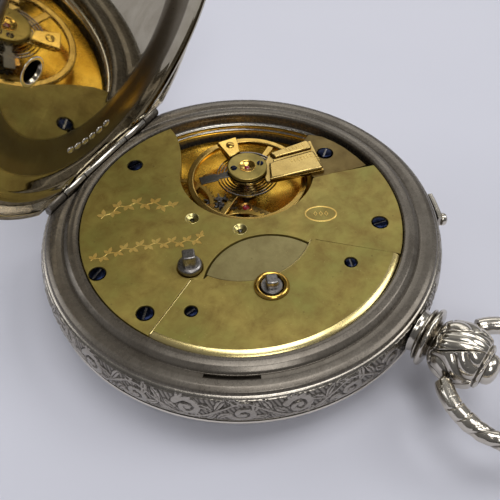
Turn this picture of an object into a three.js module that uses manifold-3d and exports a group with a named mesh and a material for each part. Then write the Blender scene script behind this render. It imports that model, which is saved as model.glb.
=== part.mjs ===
// Full-hunter pocket watch, key wound, with a centre-seconds lever movement.
// Millimetres. +Z is the back of the watch; the case lies on the flat crown of its closed
// front lid, so z = 0 is the plane it rests on. The case axis is x = y = 0, the pendant
// points along +Y, and the joint of the open rear covers is close to -Y.
// Parts are placed in a layout frame that is turned as a whole about Z by CLOCKING.
import * as THREE from 'three';
import { mergeVertices } from 'three/addons/utils/BufferGeometryUtils.js';
import Module from 'manifold-3d';

const wasm = await Module();
wasm.setup();

// ---------------------------------------------------------------- driving dimensions
// Angles are in degrees and azimuths are in the layout frame, unless noted.
const CLOCKING = 127.5;
const CASE_RING_Z = 10.8;        // plain rear ring of the case middle
const BAND_RADIUS = 27.9;        // widest point of the band
const STOP_Z = 8.3;              // middle height of the stop slide

const PLATE_RADIUS = 21.96;      // three-quarter plate and barrel bridge
const PLATE_FRONT_Z = 9.9;
const PLATE_BACK_Z = 11.19;
const PILLAR_PLATE_RADIUS = 21.5;
const PILLAR_PLATE_FRONT_Z = 5.1;
const PILLAR_PLATE_BACK_Z = 6.8;
const ON_PILLAR_PLATE_Z = PILLAR_PLATE_BACK_Z + 0.01;   // parts that stand on it clear it slightly
const DIAL_RADIUS = 21.6;
const DIAL_FRONT_Z = 3.4;
const DIAL_BACK_Z = 4.1;

// Joints: both tubes run square to JOINT_AZIMUTH, at a chord distance from the case axis.
const JOINT_AZIMUTH = 147.5;
const REAR_JOINT = {
  chord: 24.24, z: 11.3, radius: 0.85, pinRadius: 0.36, pinEnd: 12.6, boreRadius: 0.42, boreEnd: 14,
};
const FRONT_JOINT = {
  chord: 26.75, z: 4.95, radius: 0.75, pinRadius: 0.31, pinEnd: 6.1, boreRadius: 0.37, boreEnd: 7,
};
const FRONT_JOINT_CLEARANCE = 1.35;
// knuckles as [from, to] along the joint
const CASE_REAR_KNUCKLES = [[-12.6, -9.4], [9.4, 12.6]];
const BACK_KNUCKLES = [[-9.25, -5.0], [4.6, 9.25]];
const CUVETTE_KNUCKLES = [[-4.85, 4.45]];
const CASE_FRONT_KNUCKLES = [[-6.1, -2.25], [2.25, 6.1]];
const LID_KNUCKLES = [[-2.1, 2.1]];
const BACK_OPEN = 86;
const CUVETTE_OPEN = 77;

const PENDANT_AZIMUTH = 90 - CLOCKING;
const PENDANT_Z = 8.0;
const BALL_DISTANCE = 33.8;      // case axis to the middle of the pendant ball

// arbor positions [x, y]
const ARBORS = {
  centre: [-0.13, -2.07],
  third: [-6.76, 0.10],
  seconds: [0, 0],
  fourth: [-9.40, 6.33],
  escape: [-3.20, 6.00],
  lever: [0.71, 4.88],
  balance: [1.00, 9.60],
  winding: [3.85, -11.90],       // also carries the barrel
  setting: [-6.68, -8.60],
  click: [8.60, -14.30],
  minute: [-4.333, -0.767],
};
// screws: position [x, y] and the direction of the slot
const PLATE_SCREWS = [
  { place: [-15.66, 11.13], turn: 35 },
  { place: [-11.99, -15.69], turn: 80 },
  { place: [19.07, -1.32], turn: 20 },
];
const BRIDGE_SCREWS = [
  { place: [-6.30, -15.53], turn: 40 },
  { place: [14.33, -8.26], turn: 100 },
];
const CASE_SCREW = { place: [-18.7, -9.3], turn: 60 };
const COCK_SCREW = { place: [12.8, 13.35], turn: 70 };
const BARREL_OPENING_CENTRE = [0, -1.3];   // arc shared by the barrel bridge and barrel cover

// tooth height above and below the pitch circle, in modules
const TRAIN_TEETH = { addendum: 0.55, dedendum: 0.75 };
const BARREL_TEETH = { addendum: 0.35, dedendum: 0.55 };
const MOTION_TEETH = { addendum: 0.45, dedendum: 0.65 };
const SETTING_TEETH = { addendum: 0.4, dedendum: 0.7 };
const RATCHET_TEETH = { addendum: 0.7, dedendum: 0.9 };
const ESCAPE_TEETH = 15;

// ---------------------------------------------------------------- materials
const metal = (look) => new THREE.MeshStandardMaterial({ ...look, metalness: 1 });
const materials = {
  silver: metal({ color: 0x9b948a, roughness: 0.28 }),
  gilt: metal({ color: 0x9a8648, roughness: 0.42 }),
  brass: metal({ color: 0xc9a24a, roughness: 0.3 }),
  blued: metal({ color: 0x11162e, roughness: 0.25 }),
  steel: metal({ color: 0x6a6a70, roughness: 0.3 }),
  enamel: new THREE.MeshStandardMaterial({ color: 0xf2efe6, roughness: 0.2, metalness: 0 }),
  glass: new THREE.MeshStandardMaterial({
    color: 0xe8eef0, roughness: 0.05, metalness: 0, transparent: true, opacity: 0.3,
  }),
};

// ---------------------------------------------------------------- mesh and solid conversion
// Welds the vertices, drops collapsed triangles and turns the faces outward.
function clean(geometry) {
  let welded = geometry.clone();
  welded.deleteAttribute('normal');
  welded.deleteAttribute('uv');
  welded = mergeVertices(welded, 1e-5);
  const position = welded.attributes.position;
  const source = welded.index.array;
  const corner = (i) => new THREE.Vector3().fromBufferAttribute(position, i);
  const triangles = [];
  let volume = 0;
  for (let i = 0; i < source.length; i += 3) {
    const [a, b, c] = source.slice(i, i + 3);
    if (a === b || b === c || c === a) continue;
    triangles.push([a, b, c]);
    volume += corner(a).dot(corner(b).cross(corner(c)));
  }
  welded.setIndex(triangles.flatMap(([a, b, c]) => (volume < 0 ? [b, a, c] : [a, b, c])));
  return welded;
}
function toSolid(part) {
  if (!part.isBufferGeometry) return part;
  const geometry = clean(part);
  return new wasm.Manifold(new wasm.Mesh({
    numProp: 3,
    vertProperties: new Float32Array(geometry.attributes.position.array),
    triVerts: new Uint32Array(geometry.index.array),
  }));
}
function toGeometry(part) {
  if (part.isBufferGeometry) return part;
  const mesh = part.getMesh();
  const geometry = new THREE.BufferGeometry();
  const positions = new Float32Array(mesh.vertProperties);
  geometry.setAttribute('position', new THREE.BufferAttribute(positions, 3));
  geometry.setIndex(new THREE.BufferAttribute(new Uint32Array(mesh.triVerts), 1));
  return geometry;
}
const union = (...parts) => parts.map(toSolid).reduce((a, b) => a.add(b));
const cut = (body, ...tools) => tools.reduce((a, b) => a.subtract(toSolid(b)), toSolid(body));
const intersect = (a, b) => toSolid(a).intersect(toSolid(b));

// ---------------------------------------------------------------- outlines
const rad = (degrees) => degrees * Math.PI / 180;
const azimuth = (x, y) => Math.atan2(y, x) * 180 / Math.PI;
const polar = (radius, angle) => [radius * Math.cos(angle), radius * Math.sin(angle)];
// [radius, degrees] pairs to [x, y], turned by a further angle
const polarOutline = (pairs, turn) => pairs.map(([r, a]) => polar(r, rad(a + turn)));

function arc(radius, from, to, steps, centre = [0, 0]) {
  const points = [];
  for (let i = 0; i <= steps; i++) {
    const [x, y] = polar(radius, rad(from + (to - from) * i / steps));
    points.push([centre[0] + x, centre[1] + y]);
  }
  return points;
}
const circle = (radius, segments, centre) => arc(radius, 0, 360, segments, centre).slice(0, -1);
const arcBand = (inner, outer, from, to, steps) => [
  ...arc(inner, from, to, steps),
  ...arc(outer, to, from, steps),
];

// flat ribbon wound outward, between two radial offsets from its spiral
function spiralRibbon({ inner, outer, turns, start, steps }, offsets) {
  const [first, second] = offsets.map((offset) => {
    const points = [];
    for (let i = 0; i <= steps; i++) {
      const u = i / steps;
      points.push(polar(inner + (outer - inner) * u + offset, start + u * 2 * Math.PI * turns));
    }
    return points;
  });
  return [...first, ...second.reverse()];
}

// ---------------------------------------------------------------- basic shapes
// ring or disc turned about Z from [radius, z] pairs; a profile off the axis closes on itself
function lathe(profile, segments) {
  const points = profile.map(([r, z]) => new THREE.Vector2(r, z));
  if (profile[0][0] > 1e-9) points.push(points[0].clone());
  return clean(new THREE.LatheGeometry(points, segments).rotateX(Math.PI / 2));
}
function cyl(radius, z0, z1, segments, [x, y] = [0, 0]) {
  return new THREE.CylinderGeometry(radius, radius, z1 - z0, segments)
    .rotateX(Math.PI / 2)
    .translate(x, y, (z0 + z1) / 2);
}
function box(x0, x1, y0, y1, z0, z1) {
  return new THREE.BoxGeometry(x1 - x0, y1 - y0, z1 - z0)
    .translate((x0 + x1) / 2, (y0 + y1) / 2, (z0 + z1) / 2);
}
const toVectors = (outline) => outline.map(([x, y]) => new THREE.Vector2(x, y));
function slab(outline, z0, z1, holes = []) {
  const shape = new THREE.Shape(toVectors(outline));
  for (const hole of holes) shape.holes.push(new THREE.Path(toVectors(hole)));
  return new THREE.ExtrudeGeometry(shape, { depth: z1 - z0, bevelEnabled: false, steps: 1 })
    .translate(0, 0, z0);
}
// rod pointing away from the case axis, its middle at the given distance
function radialRod({ radius, length, distance, z, direction, segments }) {
  return new THREE.CylinderGeometry(radius, radius, length, segments)
    .rotateZ(Math.PI / 2)
    .translate(distance, 0, z)
    .rotateZ(rad(direction));
}
// square key end of an arbor
const keySquare = (half, z0, z1, turn) =>
  box(-half, half, -half, half, z0, z1).rotateZ(rad(turn));
// screw with a slotted head
function screw({ headRadius, top, headBottom, tip, shankRadius }) {
  const profile = [
    [0, tip], [shankRadius, tip], [shankRadius, headBottom],
    [headRadius, headBottom], [headRadius, top], [0, top],
  ];
  return cut(lathe(profile, 12), box(-3, 3, -0.14, 0.14, top - 0.22, top + 1));
}

// ---------------------------------------------------------------- joint shapes
const OUTWARD = polar(1, rad(JOINT_AZIMUTH));
const ALONG_JOINT = new THREE.Vector3(OUTWARD[1], -OUTWARD[0], 0);
const JOINT_TURN = rad(JOINT_AZIMUTH - 180);     // turns +Y along the joint and -X outward
const TUBE_SEGMENTS = 12;

function jointTube({ chord, z }, radius, end, start = -end) {
  return new THREE.CylinderGeometry(radius, radius, end - start, TUBE_SEGMENTS)
    .rotateY(Math.PI / TUBE_SEGMENTS)
    .translate(0, (start + end) / 2, 0)
    .rotateZ(JOINT_TURN)
    .translate(OUTWARD[0] * chord, OUTWARD[1] * chord, z);
}
const jointBar = (near, far, start, end, z0, z1) =>
  box(-far, -near, start, end, z0, z1).rotateZ(JOINT_TURN);
const jointBore = (joint) => jointTube(joint, joint.boreRadius, joint.boreEnd);
const jointPin = (joint) => jointTube(joint, joint.pinRadius, joint.pinEnd);
// each knuckle is a tube and the bar that ties it to its part
const knuckles = (joint, spans, { near, far, z0, z1 }) => spans.flatMap(([start, end]) => [
  jointTube(joint, joint.radius, end, start),
  jointBar(near, far, start, end, z0, z1),
]);

// ---------------------------------------------------------------- gears
// A gear is { teeth, radius of the pitch circle, phase of tooth 0 in radians from +X }.
const distance = (a, b) => Math.hypot(a[0] - b[0], a[1] - b[1]);
const bearing = (a, b) => Math.atan2(b[1] - a[1], b[0] - a[0]);

// Two gears share the distance of their arbors by tooth count; on the line of centres
// a tooth of the first meets a gap of the second.
function meshedPair(a, b, teethA, teethB) {
  const radiusPerTooth = distance(a, b) / (teethA + teethB);
  return [
    { teeth: teethA, radius: radiusPerTooth * teethA, phase: bearing(a, b) },
    { teeth: teethB, radius: radiusPerTooth * teethB, phase: bearing(b, a) + Math.PI / teethB },
  ];
}
// phase of a gear at b driven by a gear at a whose own phase is already fixed
function followPhase(driver, a, b, teeth) {
  const pitch = 2 * Math.PI / driver.teeth;
  const pastTooth = ((bearing(a, b) - driver.phase) % pitch + pitch) % pitch;
  return bearing(b, a) + Math.PI / teeth + pastTooth / pitch * 2 * Math.PI / teeth;
}
function gear({ teeth, radius, phase = 0 }, z0, z1, form = TRAIN_TEETH, holes = []) {
  const gearModule = 2 * radius / teeth;
  const tipRadius = radius + form.addendum * gearModule;
  const rootRadius = radius - form.dedendum * gearModule;
  const pitch = 2 * Math.PI / teeth;
  const outline = [];
  for (let i = 0; i < teeth; i++) {
    const angle = pitch * i + phase;
    outline.push(polar(tipRadius, angle), polar(rootRadius, angle + 0.5 * pitch));
  }
  return slab(outline, z0, z1, holes);
}
// openings that leave three parallel-sided spokes
function spokeWindows(rimRadius, hubRadius) {
  const spokes = 3;
  const spokeWidth = 0.8;
  const halfWindow = 180 / spokes;
  const halfSpan = (r) => halfWindow - Math.asin(spokeWidth / 2 / r) * 180 / Math.PI;
  const [outer, inner] = [halfSpan(rimRadius), halfSpan(hubRadius)];
  return Array.from({ length: spokes }, (_, i) => {
    const middle = 360 * i / spokes;
    return [
      ...arc(rimRadius, middle - outer, middle + outer, 4),
      ...arc(hubRadius, middle + inner, middle - inner, 1),
    ];
  });
}

const [barrelGear, centrePinion] = meshedPair(ARBORS.winding, ARBORS.centre, 48, 8);
const [centreWheel, thirdPinion] = meshedPair(ARBORS.centre, ARBORS.third, 48, 6);
const [thirdWheel, secondsPinion] = meshedPair(ARBORS.third, ARBORS.seconds, 45, 6);
const [fourthWheel, escapePinion] = meshedPair(ARBORS.fourth, ARBORS.escape, 48, 6);
const fourthPinion = {
  teeth: 6,
  radius: distance(ARBORS.third, ARBORS.fourth) - thirdWheel.radius,
  phase: followPhase(thirdWheel, ARBORS.third, ARBORS.fourth, 6),
};
// motion work: the centre arbor and the cannon pinion share one minute wheel
const [minuteWheel, cannonPinion] = meshedPair(ARBORS.minute, ARBORS.seconds, 24, 8);
const [minutePinion, hourWheel] = meshedPair(ARBORS.minute, ARBORS.seconds, 8, 32);
const centreLowPinion = {
  ...cannonPinion,
  phase: followPhase(minuteWheel, ARBORS.minute, ARBORS.centre, cannonPinion.teeth),
};
const settingWheel = {
  teeth: 35,
  radius: 4.83,
  phase: followPhase(minuteWheel, ARBORS.minute, ARBORS.setting, 35),
};
const ratchetWheel = { teeth: 24, radius: 3.3 };

// ---------------------------------------------------------------- scene
const { silver, gilt, brass, blued, steel, enamel, glass } = materials;
const watch = new THREE.Group();
const layout = new THREE.Group();
layout.rotation.z = rad(CLOCKING);
watch.add(layout);

function addMesh(name, part, material, parent = layout) {
  const geometry = clean(toGeometry(part));
  geometry.computeVertexNormals();
  const mesh = new THREE.Mesh(geometry, material);
  mesh.name = name;
  parent.add(mesh);
}
function groupAt([x, y], turn = 0) {
  const group = new THREE.Group();
  group.position.set(x, y, 0);
  group.rotation.z = rad(turn);
  layout.add(group);
  return group;
}

// ---------------------------------------------------------------- case middle
function caseMiddle() {
  const profile = [
    [21.95, 3.45], [22.4, 3.45], [22.45, 4.3], [24.4, 4.3], [24.4, 5.6], [26.0, 5.6],
    [26.0, 4.3], [26.35, 5.05], [27.45, 5.05], [BAND_RADIUS, 7.0], [BAND_RADIUS, 8.2],
    [27.5, 9.9], [26.6, CASE_RING_Z], [24.45, CASE_RING_Z], [24.3, 11.02], [22.9, 11.53],
    [22.3, 11.3], [22.25, 9.4], [21.95, 9.4],
  ];
  const rearBar = {
    near: REAR_JOINT.chord - 0.5, far: REAR_JOINT.chord + 0.5, z0: 9.9, z1: REAR_JOINT.z - 0.4,
  };
  const frontBar = {
    near: FRONT_JOINT.chord - 0.45,
    far: FRONT_JOINT.chord + 0.45,
    z0: FRONT_JOINT.z + 0.3,
    z1: 6.8,
  };
  let body = cut(lathe(profile, 32), jointTube(REAR_JOINT, 1.05, 13.2));
  body = union(body, ...knuckles(REAR_JOINT, CASE_REAR_KNUCKLES, rearBar));
  body = cut(body, jointBore(REAR_JOINT), jointTube(FRONT_JOINT, FRONT_JOINT_CLEARANCE, 7));
  body = union(body, ...knuckles(FRONT_JOINT, CASE_FRONT_KNUCKLES, frontBar));
  const pushRodBore = radialRod({
    radius: 1.0, length: 8, distance: 25.5, z: PENDANT_Z, direction: PENDANT_AZIMUTH, segments: 16,
  });
  // blind slot for the stop slide
  const stopSlot = slab(arcBand(26.6, 29, 0.5, 15.5, 4), STOP_Z - 0.4, STOP_Z + 0.4);
  return cut(body, jointBore(FRONT_JOINT), pushRodBore, stopSlot);
}
addMesh('case_middle', caseMiddle(), silver);
addMesh('back_hinge_pin', jointPin(REAR_JOINT), steel);
addMesh('front_hinge_pin', jointPin(FRONT_JOINT), steel);
addMesh('lock_spring', slab(arcBand(24.75, 25.3, -72, -20, 12), 4.5, 5.35), steel);

// ---------------------------------------------------------------- pendant, push button, bow
// The pendant group has +X along the pendant.
const pendantGroup = new THREE.Group();
pendantGroup.rotation.z = rad(PENDANT_AZIMUTH);
layout.add(pendantGroup);

// part turned about the pendant axis from [radius, distance from the case axis] pairs
const pendantLathe = (profile, segments) =>
  lathe(profile, segments).rotateY(Math.PI / 2).translate(0, 0, PENDANT_Z);

addMesh('pendant', pendantLathe([
  [0.95, 28.02], [2.7, 28.02], [2.7, 28.6], [3.45, 28.7], [3.45, 29.0], [3.1, 29.15],
  [3.9, 29.4], [3.9, 29.85], [2.3, 30.1], [3.45, 31.3], [4.1, BALL_DISTANCE], [3.5, 36.1],
  [2.45, 37.2], [2.35, 36.0], [0.95, 35.95],
], 18), silver, pendantGroup);
addMesh('push_button', pendantLathe([
  [0, 26.0], [0.8, 26.0], [0.8, 36.7], [1.9, 36.8], [1.95, 37.9], [1.5, 38.35], [0, 38.6],
], 14), silver, pendantGroup);

// C of thick wire that starts and ends on the sides of the ball
function bow() {
  // [x from the ball, y] from one side of the ball to the far end of the bow
  const half = [
    [0, 4.85], [0.35, 5.25], [1.3, 6.15], [2.7, 7.05], [4.6, 7.75], [6.8, 8.05],
    [9.2, 7.6], [11.6, 6.3], [13.3, 4.2], [14.2, 1.8], [14.35, 0],
  ];
  const full = [...half, ...half.slice(0, -1).reverse().map(([x, y]) => [x, -y])];
  const points = full.map(([x, y]) => new THREE.Vector3(BALL_DISTANCE + x, y, PENDANT_Z));
  const wire = new THREE.ExtrudeGeometry(new THREE.Shape(toVectors(circle(1.15, 6))), {
    steps: 26,
    bevelEnabled: false,
    extrudePath: new THREE.CatmullRomCurve3(points, false, 'centripetal'),
  });
  const pins = [1, -1].map((side) => new THREE.CylinderGeometry(0.55, 0.55, 0.95, 8)
    .translate(BALL_DISTANCE, side * 4.65, PENDANT_Z));
  return union(wire, ...pins);
}
addMesh('bow', bow(), silver, pendantGroup);

// ---------------------------------------------------------------- covers
// turns its children about the rear joint, the side away from the joint lifting
function openCoverGroup(opening) {
  const group = new THREE.Group();
  group.quaternion.setFromAxisAngle(ALONG_JOINT, -rad(opening));
  const { chord, z } = REAR_JOINT;
  const hinge = new THREE.Vector3(OUTWARD[0] * chord, OUTWARD[1] * chord, z);
  const turned = hinge.clone().applyQuaternion(group.quaternion);
  group.position.copy(hinge.sub(turned));
  layout.add(group);
  return group;
}

function backCover() {
  const flat = 23.7;             // chord where the shell is cut off at the joint
  const profile = [
    [0, 17.3], [12, 17.1], [20, 16.5], [24.5, 15.5], [27.3, 13.7], [28.0, 11.8], [27.6, 10.92],
    [27.0, 10.92], [27.4, 11.8], [26.75, 13.4], [24.2, 15.0], [20, 15.97], [12, 16.58], [0, 16.8],
  ];
  const wallLimit = [[0, 5], [27.7, 5], [27.5, 12.4], [27.0, 13.6], [24.3, 15.3], [0, 16.3]];
  const wall = intersect(
    jointBar(flat - 0.4, flat, -12.9, 12.9, 12.28, 15.3),
    lathe(wallLimit, 32),
  );
  const bar = { near: flat - 0.4, far: REAR_JOINT.chord, z0: 11.85, z1: 12.6 };
  const shell = cut(lathe(profile, 32), jointBar(flat, 31, -20, 20, 9, 20));
  const body = union(shell, wall, ...knuckles(REAR_JOINT, BACK_KNUCKLES, bar));
  return cut(body, jointBore(REAR_JOINT));
}
addMesh('back_cover', backCover(), silver, openCoverGroup(BACK_OPEN));

// inner rear cover, with a key hole over each square
function cuvette() {
  const profile = [
    [0, 13.78], [10, 13.5], [18, 12.85], [23, 12.3], [24.9, 11.75], [25.3, 10.88],
    [24.65, 10.88], [24.1, 11.45], [22.6, 11.85], [18, 12.45], [10, 13.12], [0, 13.4],
  ];
  const shell = cut(
    lathe(profile, 32),
    jointBar(23.0, 31, -20, 20, 9, 20),
    cyl(1.65, 9, 20, 14, ARBORS.setting),
    cyl(1.65, 9, 20, 14, ARBORS.winding),
  );
  const bar = { near: 22.5, far: REAR_JOINT.chord, z0: 11.86, z1: 12.12 };
  const body = union(shell, ...knuckles(REAR_JOINT, CUVETTE_KNUCKLES, bar));
  return cut(body, jointBore(REAR_JOINT));
}
addMesh('cuvette', cuvette(), silver, openCoverGroup(CUVETTE_OPEN));

function frontLid() {
  const profile = [
    [0, 0], [17, 0], [21, 0.45], [24.5, 1.35], [26.8, 2.8], [27.6, 4.92],
    [26.8, 4.92], [26.1, 3.2], [24.2, 1.95], [20.9, 1.05], [17, 0.6], [0, 0.6],
  ];
  const shell = cut(lathe(profile, 32), jointTube(FRONT_JOINT, 1.32, 7.2));
  const bar = { near: 26.35, far: 27.2, z0: 3.3, z1: FRONT_JOINT.z };
  const body = union(shell, ...knuckles(FRONT_JOINT, LID_KNUCKLES, bar));
  return cut(body, jointBore(FRONT_JOINT));
}
addMesh('front_lid', frontLid(), silver);

addMesh('bezel', cut(lathe([
  [21.7, 2.05], [22.6, 2.1], [24.6, 2.65], [25.5, 3.5], [25.55, 4.22],
  [22.62, 4.22], [22.6, 2.55], [21.7, 2.33],
], 32), jointTube(FRONT_JOINT, FRONT_JOINT_CLEARANCE, 7)), silver);
addMesh('crystal', lathe([
  [0, 0.95], [12, 1.05], [19.4, 1.4], [21.6, 2.3], [22.35, 2.62], [22.35, 3.1],
  [21.2, 2.75], [19.2, 1.9], [12, 1.5], [0, 1.4],
], 32), glass);

// ---------------------------------------------------------------- stop slide on the band
function stopSlide() {
  const strip = slab(arcBand(28.15, 28.6, 2.2, 12.2, 6), STOP_Z - 0.65, STOP_Z + 0.65);
  const pin = radialRod({
    radius: 0.3, length: 1.3, distance: 27.7, z: STOP_Z, direction: 7, segments: 10,
  });
  const knob = new THREE.SphereGeometry(0.72, 10, 6)
    .scale(1.1, 1, 0.95)
    .translate(28.85, 0, STOP_Z)
    .rotateZ(rad(3.2));
  return union(strip, pin, knob);
}
addMesh('stop_slide', stopSlide(), silver);

// ---------------------------------------------------------------- dial and hands
const dialOutline = circle(DIAL_RADIUS, 32);
addMesh('dial', slab(dialOutline, DIAL_FRONT_Z, DIAL_BACK_Z, [circle(1.35, 12)]), enamel);

const secondsGroup = groupAt(ARBORS.seconds);
// flat hand; root and tip are half widths at the hub and near the point
function hand({ length, tail, root, tip, z0, z1, hubRadius, bore, direction }) {
  const outline = [
    [length * 0.72, -tip], [length * 0.45, -root * 0.8], [0, -root], [-tail, -root * 0.9],
    [-tail, root * 0.9], [0, root], [length * 0.45, root * 0.8], [length * 0.72, tip],
    [length, 0],
  ];
  const blank = union(slab(outline, z0, z1), cyl(hubRadius, z0, z1, 14));
  return toGeometry(cut(blank, cyl(bore, z0 - 1, z1 + 1, 12))).rotateZ(rad(direction));
}
const HANDS = {
  hour_hand: {
    length: 12.0, tail: 2.2, root: 0.55, tip: 1.0, z0: 3.03, z1: 3.2,
    hubRadius: 1.75, bore: 1.2, direction: -92.5,
  },
  minute_hand: {
    length: 17.8, tail: 3.0, root: 0.5, tip: 0.75, z0: 2.66, z1: 2.8,
    hubRadius: 1.35, bore: 0.85, direction: 22.5,
  },
  seconds_hand: {
    length: 17.4, tail: 5.0, root: 0.3, tip: 0.25, z0: 2.34, z1: 2.46,
    hubRadius: 0.8, bore: 0.24, direction: 172.5,
  },
};
for (const [name, spec] of Object.entries(HANDS)) addMesh(name, hand(spec), blued, secondsGroup);

// ---------------------------------------------------------------- plates
function pillarPlate() {
  const disc = slab(circle(PILLAR_PLATE_RADIUS, 32), PILLAR_PLATE_FRONT_Z, PILLAR_PLATE_BACK_Z);
  const plate = cut(
    disc,
    cyl(8.8, 5.35, 8, 24, ARBORS.winding),          // recess under the barrel
    cyl(0.62, 4, 8, 10, ARBORS.winding),
    cyl(0.62, 4, 8, 10, ARBORS.centre),
    cyl(0.9, 4, 8, 10, ARBORS.setting),
    cyl(0.62, 4, 8, 12, ARBORS.seconds),
  );
  // tube that carries the minute pipe, pressed in the middle of the plate
  const tube = [[0.3, 3.3], [0.5, 3.3], [0.5, 5.3], [0.7, 5.3], [0.7, 6.0], [0.3, 6.0]];
  return union(plate, lathe(tube, 12));
}
addMesh('pillar_plate', pillarPlate(), gilt);

function threeQuarterPlate() {
  const leftRim = [azimuth(-10.75, 19.15), azimuth(-11.3, -18.85) + 360];
  const rightRim = [azimuth(20.85, -6.95), azimuth(19.55, 10.0)];
  const outline = [
    ...arc(PLATE_RADIUS, ...leftRim, 18),
    [-6.75, -10.6],                                              // by the setting arbor
    ...arc(9.0, 173.5, 54.5, 14, ARBORS.winding),                // round the barrel cover
    [10.2, -4.15],
    ...arc(PLATE_RADIUS, ...rightRim, 8),
    [13.48, 8.55], [10.3, 7.65],
    ...arc(9.7, -12.2, -180, 16, [0.9, 9.7]).slice(0, -1),       // round the balance
    [-8.85, 9.85], [-8.95, 13.2], [-9.6, 16.3],
  ];
  const screwHoles = [...PLATE_SCREWS, CASE_SCREW].map(({ place }) => cyl(1.16, 9, 12, 12, place));
  const sink = [[0, 10.75], [0.35, 10.75], [0.95, 11.3], [0, 11.3]];
  const pivotHoles = [ARBORS.centre, ARBORS.third].flatMap((place) => [
    lathe(sink, 12).translate(...place, 0),
    cyl(0.3, 9, 11, 8, place),
  ]);
  return cut(
    slab(outline, PLATE_FRONT_Z, PLATE_BACK_Z),
    cyl(0.85, 9, 12, 12, ARBORS.setting),
    ...screwHoles,
    ...pivotHoles,
    cyl(0.3, 9, 10.6, 8, ARBORS.fourth),
  );
}
addMesh('three_quarter_plate', threeQuarterPlate(), gilt);

function barrelBridge() {
  const outline = [
    ...arc(PLATE_RADIUS, azimuth(-11.0, -19.02), azimuth(20.75, -7.25), 14),
    [10.15, -4.45],
    ...arc(9.75, -22, -117.5, 10, BARREL_OPENING_CENTRE),
    [-4.75, -11.1], [-6.3, -10.95],
  ];
  const posts = BRIDGE_SCREWS.map(({ place }) =>
    cyl(1.3, ON_PILLAR_PLATE_Z, PLATE_FRONT_Z + 0.3, 12, place));
  return cut(
    union(slab(outline, PLATE_FRONT_Z, PLATE_BACK_Z), ...posts),
    ...BRIDGE_SCREWS.map(({ place }) => cyl(0.87, 10.5, 12, 12, place)),
    cyl(1.5, 9, 12, 16, ARBORS.winding),
    cyl(0.45, 9, 10.7, 8, ARBORS.click),
  );
}
addMesh('barrel_bridge', barrelBridge(), gilt);

// flat cover over the barrel, just below the back of the plates
function barrelCover() {
  const disc = slab(circle(8.55, 32, ARBORS.winding), PLATE_FRONT_Z + 0.1, PLATE_BACK_Z - 0.12);
  const limit = slab(circle(9.6, 36, BARREL_OPENING_CENTRE), 9, 12);
  return cut(intersect(disc, limit), cyl(1.75, 9, 12, 16, ARBORS.winding));
}
addMesh('barrel_cover', barrelCover(), gilt);

const PILLAR_PROFILE = [
  [0, 6.81], [1.3, 6.81], [1.0, 7.5], [1.0, 9.3], [1.3, 9.89], [0, 9.89],
];
PLATE_SCREWS.forEach(({ place }, i) => {
  addMesh('pillar_' + 'abc'[i], lathe(PILLAR_PROFILE, 12), gilt, groupAt(place));
});

const addScrew = (name, { place, turn }, size) =>
  addMesh(name, screw(size), blued, groupAt(place, turn));
PLATE_SCREWS.forEach((spot, i) => addScrew('plate_screw_' + 'abc'[i], spot, {
  headRadius: 1.08, top: 11.26, headBottom: 10.5, tip: 9.95, shankRadius: 0.5,
}));
addScrew('case_screw', CASE_SCREW, {
  headRadius: 1.08, top: 11.3, headBottom: 10.6, tip: 9.95, shankRadius: 0.5,
});
// the bridge and cock screws are heads only
BRIDGE_SCREWS.forEach((spot, i) => addScrew('bridge_screw_' + 'ab'[i], spot, {
  headRadius: 0.8, top: 11.24, headBottom: 10.55, tip: 10.55, shankRadius: 0.4,
}));

// ---------------------------------------------------------------- winding and setting arbors
const windingGroup = groupAt(ARBORS.winding);
addMesh('winding_bush', lathe([
  [1.52, 11.21], [2.3, 11.21], [2.3, 11.42], [1.9, 11.66], [1.52, 11.4],
], 20), brass, windingGroup);
addMesh('winding_arbor', union(lathe([
  [0, 5.2], [0.5, 5.2], [0.5, 6.0], [1.0, 6.02], [1.0, 7.75], [0.8, 7.8],
  [0.8, 10.9], [1.42, 10.95], [1.42, 11.45], [0, 11.5],
], 14), keySquare(0.7, 11.3, 12.75, 6)), steel, windingGroup);
addMesh('ratchet_wheel', cut(
  gear(ratchetWheel, 8.9, 9.25, RATCHET_TEETH),
  cyl(0.85, 8, 10, 12),
), steel, windingGroup);
addMesh('click', union(
  slab([[0.5, -0.6], [0.7, 0.2], [-0.2, 0.9], [-1.62, 0.75], [-0.6, -0.5]], 8.9, 9.25),
  cyl(0.75, 8.9, 9.25, 12),
  cyl(0.35, 9.2, 10.5, 8),
), steel, groupAt(ARBORS.click));
addMesh('setting_arbor', union(lathe([
  [0, 4.3], [0.6, 4.3], [0.6, 11.24], [1.6, 11.24], [1.6, 11.95], [1.35, 12.15], [0, 12.2],
], 14),
keySquare(0.8, 11.8, 14.0, 9),
gear(settingWheel, 4.52, 4.72, SETTING_TEETH)), steel, groupAt(ARBORS.setting));

// ---------------------------------------------------------------- barrel
addMesh('barrel', union(
  lathe([[0.62, 5.62], [8.4, 5.62], [8.4, 7.78], [7.9, 7.78], [7.9, 5.95], [0.62, 5.95]], 24),
  gear(barrelGear, 7.2, 7.6, BARREL_TEETH, [circle(8.2, 24)]),
), brass, windingGroup);
addMesh('barrel_lid', lathe([
  [1.05, 7.82], [8.35, 7.82], [8.35, 8.05], [1.05, 8.05],
], 24), brass, windingGroup);
const MAINSPRING = { inner: 1.35, outer: 7.65, turns: 4.2, start: 0, steps: 44 };
addMesh('mainspring', slab(spiralRibbon(MAINSPRING, [-0.22, 0]), 6.1, 7.65), steel, windingGroup);

// ---------------------------------------------------------------- going train
const centreGroup = groupAt(ARBORS.centre);
const thirdGroup = groupAt(ARBORS.third);
const fourthGroup = groupAt(ARBORS.fourth);
const escapeGroup = groupAt(ARBORS.escape);

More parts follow.
